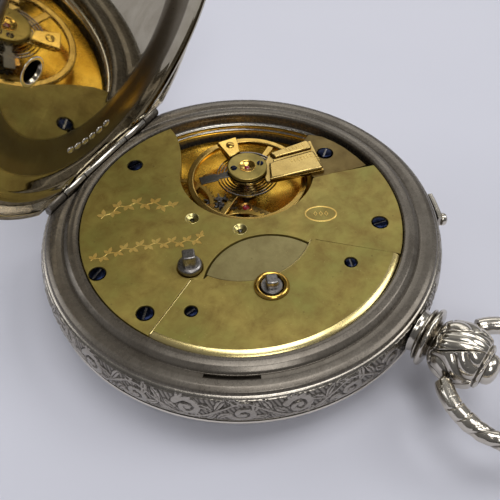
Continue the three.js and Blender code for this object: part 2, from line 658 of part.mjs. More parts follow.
addMesh('centre_wheel',
  gear(centreWheel, 8.35, 8.6, TRAIN_TEETH, [circle(0.52, 8)]), brass, centreGroup);
addMesh('centre_pinion', union(
  cyl(0.45, 4.84, 9.75, 8),
  cyl(0.24, 9.6, 10.9, 8),
  gear(centrePinion, 7.1, 7.6, BARREL_TEETH),
  gear(centreLowPinion, 4.84, 5.02, MOTION_TEETH),
), steel, centreGroup);
addMesh('third_wheel', gear(thirdWheel, 7.75, 8.0, TRAIN_TEETH, [
  circle(0.3, 8), ...spokeWindows(thirdWheel.radius - 0.9, 1.2),
]), brass, thirdGroup);
addMesh('third_pinion', union(
  cyl(0.25, 6.85, 10.6, 8),
  gear(thirdPinion, 8.25, 8.7),
), steel, thirdGroup);
addMesh('seconds_pinion', union(
  cyl(0.2, 2.3, 8.2, 8),
  gear(secondsPinion, 7.66, 8.1),
), steel, secondsGroup);
addMesh('fourth_wheel', gear(fourthWheel, 7.35, 7.55, TRAIN_TEETH, [
  circle(0.27, 8), ...spokeWindows(fourthWheel.radius - 0.85, 1.1),
]), brass, fourthGroup);
addMesh('fourth_pinion', union(
  cyl(0.22, 6.85, 10.5, 8),
  gear(fourthPinion, 7.65, 8.1),
), steel, fourthGroup);

// club-toothed wheel with four windows
function escapeWheel() {
  const tooth = [[2.15, -8], [2.9, -1.5], [2.9, 2.2], [2.15, 1.5]];   // [radius, degrees]
  const outline = [];
  for (let i = 0; i < ESCAPE_TEETH; i++) {
    outline.push(...polarOutline(tooth, 360 * i / ESCAPE_TEETH));
  }
  const windows = [0, 90, 180, 270].map((turn) => [
    ...arc(1.75, turn + 12, turn + 78, 2),
    ...arc(0.75, turn + 62, turn + 28, 1),
  ]);
  return slab(outline, 6.95, 7.15, [circle(0.28, 12), ...windows]);
}
addMesh('escape_wheel', escapeWheel(), brass, escapeGroup);
addMesh('escape_pinion', union(
  cyl(0.2, 6.85, 8.55, 8),
  gear(escapePinion, 7.25, 7.66),
), steel, escapeGroup);

// ---------------------------------------------------------------- lever escapement
function palletLever() {
  const towardEscape = bearing(ARBORS.lever, ARBORS.escape) * 180 / Math.PI;
  const towardBalance = bearing(ARBORS.lever, ARBORS.balance) * 180 / Math.PI;
  // [radius, degrees from the direction of the partner]
  const pallets = [
    [1.95, 62], [2.15, 50], [1.35, 35], [0.6, 0], [1.35, -35], [2.15, -50], [1.95, -62],
    [0.55, 180],
  ];
  const fork = [
    [0.45, -90], [3.0, -6], [3.62, -9], [3.75, -5], [3.3, -1.5],
    [3.3, 1.5], [3.75, 5], [3.62, 9], [3.0, 6], [0.45, 90],
  ];
  return union(
    slab(polarOutline(pallets, towardEscape), 6.95, 7.15),
    slab(polarOutline(fork, towardBalance), 6.95, 7.15),
    cyl(0.2, 6.85, 7.4, 12),
  );
}
addMesh('pallet_lever', palletLever(), steel, groupAt(ARBORS.lever));

function palletCock() {
  const foot = [4.8, 2.4];
  const length = distance(ARBORS.lever, foot);
  const bar = slab([
    [-0.2, -1.25], [length, -1.2], [length + 1.1, -0.6], [length + 1.1, 0.6], [length, 1.2],
    [-0.2, 1.25], [-1.0, 0.8], [-1.3, 0], [-1.0, -0.8],
  ], 7.48, 7.82);
  const post = cyl(1.15, ON_PILLAR_PLATE_Z, 7.6, 18, [length, 0]);
  return toGeometry(union(bar, post)).rotateZ(bearing(ARBORS.lever, foot));
}
addMesh('pallet_cock', palletCock(), gilt, groupAt(ARBORS.lever));

const balanceGroup = groupAt(ARBORS.balance);
function balanceWheel() {
  const rim = lathe([[8.1, 8.86], [8.9, 8.86], [8.9, 9.66], [8.1, 9.66]], 36);
  const arms = slab([
    [8.4, -0.55], [8.4, 0.55], [1.2, 0.75], [-8.4, 0.55], [-8.4, -0.55], [1.2, -0.75],
  ], 9.0, 9.45);
  const wheel = cut(union(rim, arms, cyl(1.2, 8.95, 9.5, 14)), cyl(0.42, 8, 10, 12));
  return toGeometry(wheel).rotateZ(rad(62));
}
addMesh('balance_wheel', balanceWheel(), brass, balanceGroup);
addMesh('balance_staff', lathe([
  [0, 6.85], [0.12, 6.85], [0.3, 7.2], [0.3, 7.42], [1.45, 7.45], [1.45, 7.72], [0.38, 7.75],
  [0.38, 9.95], [0.75, 10.0], [0.75, 10.4], [0.3, 10.45], [0.12, 11.35], [0, 11.35],
], 10), steel, balanceGroup);

const HAIRSPRING_TURNS = 4.2;
const HAIRSPRING = {
  inner: 0.95,
  outer: 4.5,
  turns: HAIRSPRING_TURNS,
  start: rad(125) - 2 * Math.PI * HAIRSPRING_TURNS,   // so that the outer end is at 125 degrees
  steps: 50,
};
addMesh('hairspring',
  slab(spiralRibbon(HAIRSPRING, [-0.06, 0.06]), 10.05, 10.4), blued, balanceGroup);

// ---------------------------------------------------------------- balance cock and its parts
function balanceCock() {
  const foot = [
    [10.35, 8.15], [13.48, 9.1], [18.75, 10.6], [15.94, 14.5], [12.66, 17.2], [10.6, 17.78],
    [9.72, 16.17],
  ];
  const arm = [[4.1, 12.6], [3.0, 9.6], [3.6, 6.6], [12.35, 9.0], [10.79, 15.9]];
  const raisedBars = [
    [[5.25, 11.65], [10.7, 13.6], [9.87, 15.3], [4.47, 12.6]],
    [[4.25, 6.95], [12.1, 9.25], [10.9, 12.95], [4.3, 10.4]],
  ];
  const studArm = [[-0.9, 15.6], [-3.1, 14.6], [-1.5, 11.2], [0.3, 12.2]];
  const body = union(
    slab(foot, ON_PILLAR_PLATE_Z, 10.8),
    slab(arm, 10.72, 11.35),
    ...raisedBars.map((outline) => slab(outline, 11.2, 11.8)),
    cyl(2.85, 10.72, 11.1, 24, ARBORS.balance),
    slab(studArm, 10.72, 11.1),
  );
  return cut(
    body,
    cyl(0.55, 9.5, 12, 16, ARBORS.balance),
    cyl(1.14, 10.35, 13, 20, COCK_SCREW.place),
    cyl(3.02, 11.1, 12.5, 24, ARBORS.balance),
  );
}
addMesh('balance_cock', balanceCock(), gilt);
addScrew('cock_screw', COCK_SCREW, {
  headRadius: 1.08, top: 10.86, headBottom: 10.38, tip: 10.38, shankRadius: 0.4,
});

function regulator() {
  const ring = lathe([[1.5, 11.13], [2.6, 11.13], [2.6, 11.33], [1.5, 11.33]], 20);
  const tail = slab([
    [2.2, -0.7], [4.6, -0.45], [4.6, -0.75], [7.2, -0.72],
    [7.2, 0.72], [4.6, 0.75], [4.6, 0.45], [2.2, 0.7],
  ], 11.13, 11.33);
  const tailEnd = [-5.95, 7.25];   // the tail points toward this spot
  return toGeometry(union(ring, tail)).rotateZ(bearing(ARBORS.balance, tailEnd));
}
addMesh('regulator', regulator(), steel, balanceGroup);
addMesh('balance_end_cap', lathe([
  [0, 11.4], [0.9, 11.4], [1.0, 11.13], [1.38, 11.13], [1.38, 11.38], [2.9, 11.38],
  [2.9, 12.0], [0.62, 12.0], [0.35, 11.75], [0, 11.75],
], 24), gilt, balanceGroup);
addMesh('hairspring_stud', cut(
  slab([[-0.6, 16.2], [0.0, 12.85], [-1.55, 11.65], [-3.45, 14.95]], 11.15, 11.95),
  cyl(0.45, 11.6, 13, 14, [-1.5, 14.4]),
), brass);

// ---------------------------------------------------------------- motion work under the dial
addMesh('minute_wheel', union(
  gear(minuteWheel, 4.5, 5.02, MOTION_TEETH),
  gear(minutePinion, 4.22, 4.6, MOTION_TEETH),
), brass, groupAt(ARBORS.minute));
addMesh('cannon_pinion', union(
  lathe([[0.57, 2.62], [0.8, 2.62], [0.8, 5.02], [0.57, 5.02]], 12),
  cut(gear(cannonPinion, 4.5, 4.72, MOTION_TEETH), cyl(0.7, 4, 5.5, 12)),
), steel, secondsGroup);
addMesh('hour_wheel', union(
  cut(gear(hourWheel, 4.22, 4.42, MOTION_TEETH), cyl(1.0, 4, 5, 12)),
  lathe([[0.86, 3.0], [1.12, 3.0], [1.12, 4.42], [0.86, 4.42]], 12),
), brass, secondsGroup);

export default watch;
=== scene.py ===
"""A key-wound pocket watch lying face down, its back cover and cuvette swung open.

Pieces are drawn in millimetres and written out in metres. +Z is the case axis: the front lid and
dial are at low z, the movement and covers at high z. There are two drawing frames:
  layout   the movement plan, which the part frame shows turned by LAYOUT_TURN about Z
  pendant  x runs out along the pendant (+Y of the part), y across it
The joint of the covers lies opposite the pendant, and is drawn as (outward, along, z).
"""

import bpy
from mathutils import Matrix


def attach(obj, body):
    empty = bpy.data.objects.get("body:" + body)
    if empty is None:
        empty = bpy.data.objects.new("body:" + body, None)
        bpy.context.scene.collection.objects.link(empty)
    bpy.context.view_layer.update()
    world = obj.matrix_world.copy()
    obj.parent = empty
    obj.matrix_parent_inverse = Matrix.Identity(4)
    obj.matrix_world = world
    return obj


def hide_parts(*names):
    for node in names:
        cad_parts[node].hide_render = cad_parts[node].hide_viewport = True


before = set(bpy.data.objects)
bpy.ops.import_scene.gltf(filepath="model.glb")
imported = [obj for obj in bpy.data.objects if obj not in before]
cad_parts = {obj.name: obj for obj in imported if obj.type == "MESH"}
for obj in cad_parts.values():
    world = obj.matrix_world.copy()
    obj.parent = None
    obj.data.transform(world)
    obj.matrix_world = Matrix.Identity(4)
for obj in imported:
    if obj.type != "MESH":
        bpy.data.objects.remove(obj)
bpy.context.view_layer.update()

from math import asin, atan2, ceil, cos, degrees, hypot, pi, radians, sin

import bmesh
import bpy
import numpy as np
from mathutils import Matrix, Vector

ROOT = "movement_and_case"
MM = 0.001
LAYOUT_TURN = radians(127.5)
TURN_COS, TURN_SIN = cos(LAYOUT_TURN), sin(LAYOUT_TURN)

# joint of the case: its bearing in the layout, and the (outward, z) place of each pin
JOINT_DEG = 147.5
JOINT_OUT = np.array([cos(radians(JOINT_DEG)), sin(radians(JOINT_DEG))])
JOINT_ALONG = np.array([JOINT_OUT[1], -JOINT_OUT[0]])
BACK_JOINT = (24.24, 11.3)
FRONT_JOINT = (26.75, 4.95)
BACK_OPEN, CUVETTE_OPEN = 86, 77    # degrees

# arbor centres in the layout
CENTRE, THIRD, SWEEP, FOURTH = (-0.13, -2.07), (-6.76, 0.10), (0, 0), (-9.40, 6.33)
ESCAPE, LEVER, BALANCE = (-3.20, 6.00), (0.71, 4.88), (1.00, 9.60)
WIND, SETTING, MINUTE = (3.85, -11.90), (-6.68, -8.60), (-4.333, -0.767)

PLATE_TOP, PLATE_BOTTOM, PLATE_RADIUS = 11.19, 9.9, 22.14
PILLAR_FOOT = 6.81

# screws: x, y, slot direction in degrees
PLATE_SCREWS = {"plate_screw_a": (-15.66, 11.13, 35), "plate_screw_b": (-11.99, -15.69, 80),
                "plate_screw_c": (19.07, -1.32, 20)}
CASE_SCREW = (-18.7, -9.3, 60)
BRIDGE_SCREWS = {"bridge_screw_a": (-6.30, -15.53, 40), "bridge_screw_b": (14.33, -8.26, 100)}
COCK_SCREW = (12.8, 13.35, 70)


# ------------------------------------------------------------------ frames
def layout_to_part(points):
    x, y, z = np.asarray(points, float).reshape(-1, 3).T
    return np.stack([TURN_COS * x - TURN_SIN * y, TURN_SIN * x + TURN_COS * y, z], 1) * MM


def pendant_to_part(points):
    x, y, z = np.asarray(points, float).reshape(-1, 3).T
    return np.stack([-y, x, z], 1) * MM


def joint_to_layout(out, along, z):
    return np.stack([JOINT_OUT[0] * out + JOINT_ALONG[0] * along,
                     JOINT_OUT[1] * out + JOINT_ALONG[1] * along, z], 1)


def swung_open(points, angle):
    """layout points turned about the back joint so that the far side lifts by angle degrees"""
    turn = np.array(Matrix.Rotation(-radians(angle), 3, Vector((*JOINT_ALONG, 0))))
    pin = np.array([*(JOINT_OUT * BACK_JOINT[0]), BACK_JOINT[1]])
    return (np.asarray(points, float) - pin) @ turn.T + pin


def placed(part, x=0, y=0, turn=0):
    """a part turned by degrees about Z, then shifted"""
    verts, faces = part
    verts = np.asarray(verts, float)
    c, s = cos(radians(turn)), sin(radians(turn))
    return np.stack([c * verts[:, 0] - s * verts[:, 1] + x,
                     s * verts[:, 0] + c * verts[:, 1] + y, verts[:, 2]], 1), faces


def bearing(x, y):
    return degrees(atan2(y, x))


# ------------------------------------------------------------------ curves
def rounded(points, radius, steps, closed=True):
    """the polyline with every corner rounded by up to radius"""
    points = [np.array(p, float) for p in points]
    count, result = len(points), []
    for i, p in enumerate(points):
        if not closed and i in (0, count - 1):
            result.append(p)
            continue
        before, after = points[i - 1], points[(i + 1) % count]
        gap_a, gap_b = np.linalg.norm(before - p), np.linalg.norm(after - p)
        start = p + (before - p) / gap_a * min(radius, 0.45 * gap_a)
        stop = p + (after - p) / gap_b * min(radius, 0.45 * gap_b)
        for k in range(steps + 1):
            t = k / steps
            result.append((1 - t) ** 2 * start + 2 * t * (1 - t) * p + t * t * stop)
    return np.array(result)


def dense(points, step):
    """the open polyline cut into pieces no longer than step"""
    points = [np.array(p, float) for p in points]
    result = []
    for a, b in zip(points[:-1], points[1:]):
        count = max(1, int(ceil(np.linalg.norm(b - a) / step)))
        result += [a + (b - a) * t / count for t in range(count)]
    return np.array(result + [points[-1]])


def spline(points, steps):
    """open Catmull-Rom curve"""
    points = np.array(points, float)
    count, result = len(points), []
    for i in range(count - 1):
        b, c = points[i], points[i + 1]
        a = points[i - 1] if i else 2 * b - c
        d = points[i + 2] if i + 2 < count else 2 * c - b
        for k in range(steps):
            t = k / steps
            result.append(0.5 * (2 * b + (c - a) * t + (2 * a - 5 * b + 4 * c - d) * t * t
                                 + (3 * b - 3 * c + d - a) * t ** 3))
    return np.array(result + [points[-1]])


def run_length(points):
    """distance travelled at every point of a polyline"""
    gaps = np.linalg.norm(np.diff(points, axis=0), axis=1)
    return np.concatenate([[0], np.cumsum(gaps)])


def arc(cx, cy, radius, start, stop, steps):
    angles = np.radians(np.linspace(start, stop, steps + 1))
    return [(cx + radius * cos(a), cy + radius * sin(a)) for a in angles]


def circle(cx, cy, radius, steps):
    return arc(cx, cy, radius, 0, 360, steps)[:-1]


def radial_share(profile, closed=False):
    """how far the normal of an [r, z] profile points along r, 0 to 1"""
    points = np.array(profile, float)
    if closed:
        tangent = np.roll(points, -1, 0) - np.roll(points, 1, 0)
    else:
        tangent = np.gradient(points, axis=0)
    tangent /= np.maximum(np.linalg.norm(tangent, axis=1, keepdims=True), 1e-9)
    return np.abs(tangent[:, 1])


# ------------------------------------------------------------------ solids: (verts, faces)
def grid(rows, columns, wrap_rows=False, wrap_columns=False):
    i, j = np.meshgrid(np.arange(rows if wrap_rows else rows - 1),
                       np.arange(columns if wrap_columns else columns - 1), indexing="ij")
    i2, j2 = (i + 1) % rows, (j + 1) % columns
    corners = [i * columns + j, i2 * columns + j, i2 * columns + j2, i * columns + j2]
    return np.stack(corners, -1).reshape(-1, 4).tolist()


def sweep_faces(stations, size):
    """faces of a closed section of size points swept over stations, with end caps"""
    return grid(stations, size, False, True) + [
        list(range(size))[::-1], [(stations - 1) * size + j for j in range(size)]]


def outward(verts, faces):
    """the faces, all flipped when they enclose a negative volume"""
    local = np.asarray(verts, float)
    local = local - local.mean(0)
    # the first 400000 quads are enough to settle the sign
    quads = np.array([f for f in faces if len(f) == 4][:400000] or [[0] * 4])
    fans = np.array([[f[0], f[k], f[k + 1]] for f in faces if len(f) != 4
                     for k in range(1, len(f) - 1)] or [[0] * 3])

    def volume(a, b, c):
        return np.einsum("ij,ij->", local[a], np.cross(local[b], local[c]))

    total = volume(*quads[:, :3].T) + volume(quads[:, 0], quads[:, 2], quads[:, 3])
    total += volume(*fans.T)
    return faces if total > 0 else [f[::-1] for f in faces]


def merge(*parts):
    all_verts, all_faces, base = [], [], 0
    for verts, faces in parts:
        verts = np.asarray(verts, float).reshape(-1, 3)
        all_verts.append(verts)
        all_faces += [[i + base for i in f] for f in outward(verts, faces)]
        base += len(verts)
    return np.concatenate(all_verts), all_faces


def turned(profile, segments, start=0.0, stop=360.0, radial=0, axial=0):
    """an [r, z] profile turned about Z between two angles in degrees

    A profile that starts and ends on the axis gets poles, any other closes on itself.
    radial and axial shift the points, as [segment, profile point].
    """
    profile = np.array(profile, float)
    full = abs(stop - start) >= 360 - 1e-9
    angles = np.linspace(radians(start), radians(stop), segments, endpoint=not full)
    poled = profile[0, 0] < 1e-9
    rows = profile[1:-1] if poled else profile
    count = len(rows)
    radius = np.repeat(rows[None, :, 0], segments, 0) + radial
    height = np.repeat(rows[None, :, 1], segments, 0) + axial
    verts = np.stack([radius * np.cos(angles)[:, None],
                      radius * np.sin(angles)[:, None], height], -1).reshape(-1, 3)
    if not full:
        return verts, sweep_faces(segments, count)
    faces = grid(segments, count, True, not poled)
    if poled:
        pole, last = len(verts), count - 1
        verts = np.concatenate([verts, [(0, 0, profile[0, 1]), (0, 0, profile[-1, 1])]])
        for i in range(segments):
            faces.append([pole, ((i + 1) % segments) * count, i * count])
        for i in range(segments):
            faces.append([pole + 1, i * count + last, ((i + 1) % segments) * count + last])
    return verts, faces


def slab(outline, z0, z1, holes=(), edge=0, steps=2, both=False):
    """flat plate; edge is the bevel round its top, and round its bottom if both"""
    bm = bmesh.new()
    edges = []
    for loop in [outline, *holes]:
        ring = [bm.verts.new((x, y, z0)) for x, y in loop]
        edges += [bm.edges.new((ring[i], ring[(i + 1) % len(ring)])) for i in range(len(ring))]
    bmesh.ops.triangle_fill(bm, use_beauty=True, use_dissolve=False, edges=edges)
    bmesh.ops.dissolve_limit(bm, angle_limit=0.01, verts=bm.verts, edges=bm.edges)
    extruded = bmesh.ops.extrude_face_region(bm, geom=list(bm.faces))["geom"]
    top = [item for item in extruded if isinstance(item, bmesh.types.BMVert)]
    bmesh.ops.translate(bm, verts=top, vec=(0, 0, z1 - z0))
    bmesh.ops.recalc_face_normals(bm, faces=list(bm.faces))
    if edge > 0:
        levels = (z0, z1) if both else (z1,)

        def is_rim(e):
            za, zb = e.verts[0].co.z, e.verts[1].co.z
            return (len(e.link_faces) == 2 and abs(za - zb) <= 1e-6
                    and any(abs(za - level) < 1e-6 for level in levels)
                    and abs(e.link_faces[0].normal.z - e.link_faces[1].normal.z) > 0.5)

        bmesh.ops.bevel(bm, geom=[e for e in bm.edges if is_rim(e)], offset=edge, segments=steps,
                        profile=0.5, affect="EDGES", clamp_overlap=True)
    bmesh.ops.triangulate(bm, faces=[f for f in bm.faces if len(f.verts) > 4])
    verts = np.array([v.co[:] for v in bm.verts])
    faces = [[v.index for v in f.verts] for f in bm.faces]
    bm.free()
    return verts, faces


def box(x, y, z, edge=0):
    """x, y and z are (low, high)"""
    return slab([(x[0], y[0]), (x[1], y[0]), (x[1], y[1]), (x[0], y[1])], *z,
                edge=edge, both=True)


def ribbon(points, width, z0=PLATE_TOP + 0.002, z1=PLATE_TOP + 0.03, closed=False):
    """flat-topped bead along a plan curve"""
    points = np.array(points, float)
    if closed:
        tangent = np.roll(points, -1, 0) - np.roll(points, 1, 0)
    else:
        tangent = np.gradient(points, axis=0)
    tangent /= np.maximum(np.linalg.norm(tangent, axis=1, keepdims=True), 1e-9)
    side = np.stack([-tangent[:, 1], tangent[:, 0]], 1) * width / 2
    count = len(points)
    left, right = points + side, points - side
    low, high = np.full(count, z0), np.full(count, z1)
    verts = np.stack([np.c_[left, low], np.c_[left * 0.5 + points * 0.5, high],
                      np.c_[right * 0.5 + points * 0.5, high], np.c_[right, low]], 1)
    faces = grid(count, 4, True, True) if closed else sweep_faces(count, 4)
    return verts.reshape(-1, 3), faces


def knuckle(joint, radius, start, stop, segments=40):
    """cylinder along the joint line"""
    size = stop - start
    verts, faces = turned(
        [(0, 0), (0.3, 0), (radius - 0.07, 0), (radius - 0.02, 0.02), (radius, 0.07),
         (radius, size - 0.07), (radius - 0.02, size - 0.02), (radius - 0.07, size),
         (0.3, size), (0, size)], segments)
    x, y, z = verts.T
    return joint_to_layout(joint[0] + x, start + z, joint[1] + y), faces


def joint_bar(out, along, z, edge):
    verts, faces = box(out, along, z, edge)
    return joint_to_layout(*verts.T), faces


def joint_leaf(joint, radius, spans, out, z, edge=0.1):
    """knuckles over the spans along the joint, with the bars that carry them"""
    return ([knuckle(joint, radius, *span) for span in spans]
            + [joint_bar(out, span, z, edge) for span in spans])


# ------------------------------------------------------------------ objects
PIECES = []
MATERIALS = {}


def link(name, data):
    ob = bpy.data.objects.new(name, data)
    bpy.context.scene.collection.objects.link(ob)
    return ob


def add(name, part, material, slot="silver", replaces=None, body=ROOT, to_part=layout_to_part,
        sharp=32, relief=None, smooth=True):
    """make an object; relief is the point attribute that darkens engraved ground (1 is plain)"""
    verts, faces = part
    verts = np.asarray(verts, float)
    me = bpy.data.meshes.new(name)
    me.from_pydata(to_part(verts).tolist(), [], outward(verts, faces))
    me.update()
    if smooth:
        me.shade_smooth()
        me.set_sharp_from_angle(angle=radians(sharp))
        normals = np.zeros(len(me.polygons) * 3)
        me.polygons.foreach_get("normal", normals)
        # level faces stay flat
        level = np.abs(normals.reshape(-1, 3)[:, 2]) < 0.9999998
        me.polygons.foreach_set("use_smooth", level)
    if relief is not None:
        values = me.attributes.new("relief", "FLOAT", "POINT")
        values.data.foreach_set("value", np.full(len(verts), relief, np.float32))
    ob = link(name, me)
    me.materials.append(MATERIALS[material])
    PIECES.append((ob, body, slot, replaces))
    return ob


def cut(ob, part):
    """take the part away from the object"""
    verts, faces = part
    me = bpy.data.meshes.new("cutter")
    me.from_pydata(layout_to_part(verts).tolist(), [], outward(verts, faces))
    cutter = link("cutter", me)
    boolean = ob.modifiers.new("b", "BOOLEAN")
    boolean.operation, boolean.solver, boolean.object = "DIFFERENCE", "EXACT", cutter
    depsgraph = bpy.context.evaluated_depsgraph_get()
    result = bpy.data.meshes.new_from_object(ob.evaluated_get(depsgraph))
    ob.modifiers.clear()
    old = ob.data
    ob.data = result
    bpy.data.meshes.remove(old)
    bpy.data.objects.remove(cutter)
    ob.data.shade_smooth()
    ob.data.set_sharp_from_angle(angle=radians(32))


# ------------------------------------------------------------------ chased foliage
def foliage(length, height, cell, step, seed, bold=1.0):
    """height map in 0..1 of running scrolls and leaves over a strip; wraps along its length"""
    rng = np.random.RandomState(seed)
    columns, rows = int(round(length / step)), int(round(height / step))
    cells = max(2, int(round(length / cell)))
    cells += cells % 2
    cell = length / cells
    strip = np.zeros((rows, columns))
    dx, dy = length / columns, height / rows
    reach = int(cell * 0.85 / dx)
    row_y = (np.arange(rows) + 0.5) * dy
    middle = height / 2

    def stroke(patch, points, widths, vein=0.0):
        grid_x, grid_y = np.meshgrid(patch_x, row_y)
        near = np.full(grid_x.shape, 9.0)
        for a, b, wide_a, wide_b in zip(points[:-1], points[1:], widths[:-1], widths[1:]):
            run = b - a
            square = max(float(run @ run), 1e-9)
            t = np.clip(((grid_x - a[0]) * run[0] + (grid_y - a[1]) * run[1]) / square, 0, 1)
            gap = np.hypot(grid_x - a[0] - t * run[0], grid_y - a[1] - t * run[1])
            near = np.minimum(near, gap / np.maximum(wide_a + (wide_b - wide_a) * t, 0.02))
        mark = np.sqrt(np.clip(1 - near * near, 0, 1)) ** 0.7
        if vein:
            mark = mark - vein * np.exp(-(near / 0.22) ** 2)
        return np.maximum(patch, mark)

    for k in range(cells):
        cx = (k + 0.5) * cell
        hand = 1 if k % 2 else -1
        first = int(cx / dx) - reach
        patch_columns = np.arange(first, first + 2 * reach)
        patch_x = (patch_columns + 0.5) * dx
        patch = np.zeros((rows, len(patch_columns)))
        cy = middle - hand * 0.06 * height
        radius = min(0.36 * height, 0.40 * cell) * (0.94 + 0.12 * rng.rand())
        # scroll
        t = np.linspace(0, 1, 30)
        angle = hand * (radians(200) + t * radians(500)) + radians(rng.uniform(-12, 12))
        shrink = radius * (1 - 0.86 * t)
        curve = np.stack([cx + shrink * np.cos(angle), cy + shrink * np.sin(angle)], 1)
        patch = stroke(patch, curve, np.linspace(0.085, 0.05, 30) * height * bold)
        # stem that links this scroll to the next
        t = np.linspace(0, 1, 12)
        wave = hand * 0.40 * height * np.cos(np.pi * (t - 0.5)) * 0.95
        curve = np.stack([cx - cell * 0.5 + t * cell, middle + wave], 1)
        patch = stroke(patch, curve, np.full(12, 0.05 * height))
        # leaf lobes round the scroll
        lobes = 7 if bold == 1.0 else 5
        for j in range(lobes):
            a = hand * radians(-30 + 47 * 7 / lobes * j + rng.uniform(-8, 8))
            root = np.array([cx + radius * 0.95 * cos(a), cy + radius * 0.95 * sin(a)])
            size = (0.20 + 0.14 * rng.rand()) * height * bold
            ahead = np.array([cos(a + hand * 0.55), sin(a + hand * 0.55)])
            side = np.array([-ahead[1], ahead[0]]) * hand
            t = np.linspace(0, 1, 7)
            leaf = root + np.outer(t * size, ahead) + np.outer(t ** 2 * size * 0.45, side)
            swell = np.sin(np.pi * np.clip(0.15 + t * 0.85, 0, 1))
            patch = stroke(patch, leaf, swell * 0.085 * height * bold + 0.012, vein=0.45)
        # long leaves between scrolls
        for q in (-1, 1):
            root = np.array([cx + cell * 0.5, middle + hand * q * 0.10 * height])
            t = np.linspace(0, 1, 8)
            leaf = (root + np.outer(t * 0.36 * cell, [q * -0.5, 0])
                    + np.outer(np.sin(t * 1.5) * 0.34 * height, [0, hand * q]))
            swell = np.sin(np.pi * np.clip(0.1 + t * 0.9, 0, 1))
            patch = stroke(patch, leaf, swell * 0.075 * height * bold + 0.012, vein=0.45)
        # eye of the scroll
        eye = np.array([[cx, cy], [cx + 0.01, cy]])
        patch = stroke(patch, eye, np.array([0.075, 0.075]) * height)
        spread = patch_columns % columns
        strip[:, spread] = np.maximum(strip[:, spread], patch)
    # stippled ground, then a border line along each side
    strip = np.maximum(strip, 0.10 * (rng.rand(rows, columns) > 0.72))
    v = row_y / height
    border = np.exp(-((v - 0.03) / 0.018) ** 2) + np.exp(-((v - 0.97) / 0.018) ** 2)
    return np.maximum(strip, np.clip(border, 0, 1)[:, None])


def sample(strip, u, v):
    """bilinear reading; u in 0..1 wraps, v in 0..1 clamps"""
    rows, columns = strip.shape
    x = (u % 1.0) * columns - 0.5
    y = np.clip(v * rows - 0.5, 0, rows - 1.001)
    x0, y0 = np.floor(x).astype(int), np.floor(y).astype(int)
    fx, fy = x - x0, y - y0
    left, right, above = x0 % columns, (x0 + 1) % columns, np.minimum(y0 + 1, rows - 1)
    return ((strip[y0, left] * (1 - fx) + strip[y0, right] * fx) * (1 - fy)
            + (strip[above, left] * (1 - fx) + strip[above, right] * fx) * fy)


# ------------------------------------------------------------------ materials
def linear(*srgb):
    """scene colour from sRGB levels of 0 to 255"""
    return (*((c / 255 / 12.92) if c / 255 <= 0.04045 else ((c / 255 + 0.055) / 1.055) ** 2.4
              for c in srgb), 1)


class Shader:
    """a Principled material whose textures run in millimetres of object space"""

    def __init__(self, name):
        material = bpy.data.materials.new(name)
        MATERIALS[name] = material
        material.use_nodes = True
        self.tree = material.node_tree
        self.tree.nodes.clear()
        output = self.node("OutputMaterial")
        self.principled = self.node("BsdfPrincipled")
        self.tree.links.new(self.principled.outputs[0], output.inputs[0])
        coords = self.node("TexCoord")
        scaled = self.node("VectorMath")
        scaled.operation = "SCALE"
        scaled.inputs["Scale"].default_value = 1000
        self.tree.links.new(coords.outputs["Object"], scaled.inputs[0])
        self.coords = scaled.outputs[0]

    def node(self, kind):
        return self.tree.nodes.new("ShaderNode" + kind)

    def put(self, socket, value):
        if isinstance(value, bpy.types.NodeSocket):
            self.tree.links.new(value, socket)
        else:
            socket.default_value = value

    def set(self, **inputs):
        for name, value in inputs.items():
            self.put(self.principled.inputs[name.replace("_", " ")], value)

    def noise(self, scale, detail=4, roughness=0.55, distortion=0.0, stretch=None):
        """stretch is the x, y, z scale and the turn about z of the coordinates"""
        node = self.node("TexNoise")
        coords = self.coords
        if stretch:
            mapping = self.node("Mapping")
            mapping.inputs["Scale"].default_value = stretch[:3]
            mapping.inputs["Rotation"].default_value = (0, 0, stretch[3])
            self.put(mapping.inputs[0], coords)
            coords = mapping.outputs[0]
        for name, value in (("Vector", coords), ("Scale", scale), ("Detail", detail),
                            ("Roughness", roughness), ("Distortion", distortion)):
            self.put(node.inputs[name], value)
        return node.outputs[0]

    def cells(self, scale):
        node = self.node("TexVoronoi")
        for name, value in (("Vector", self.coords), ("Scale", scale), ("Randomness", 1.0)):
            self.put(node.inputs[name], value)
        return node.outputs["Distance"]

    def remap(self, value, source, target=(0.0, 1.0)):
        node = self.node("MapRange")
        for socket, item in zip(node.inputs, (value, *source, *target)):
            self.put(socket, item)
        return node.outputs[0]

    def mix(self, factor, first, second):
        node = self.node("Mix")
        node.data_type = "RGBA"
        for index, value in ((0, factor), (6, first), (7, second)):
            self.put(node.inputs[index], value)
        return node.outputs[2]

    def math(self, operation, first, second):
        node = self.node("Math")
        node.operation = operation
        self.put(node.inputs[0], first)
        self.put(node.inputs[1], second)
        return node.outputs[0]

    def times(self, first, second):
        return self.math("MULTIPLY", first, second)

    def plus(self, first, second):
        return self.math("ADD", first, second)

    def relief(self):
        node = self.node("Attribute")
        node.attribute_name = "relief"
        return node.outputs["Fac"]

    def occlusion_shade(self, distance, source):
        """painted shade from ambient occlusion: 1 in corners, 0 in the open"""
        node = self.node("AmbientOcclusion")
        node.samples = 4
        node.inputs["Distance"].default_value = distance
        return self.remap(node.outputs["AO"], source, (1.0, 0.0))

    def bump(self, height, strength, distance):
        node = self.node("Bump")
        for name, value in (("Strength", strength), ("Distance", distance), ("Height", height)):
            self.put(node.inputs[name], value)
        return node.outputs[0]


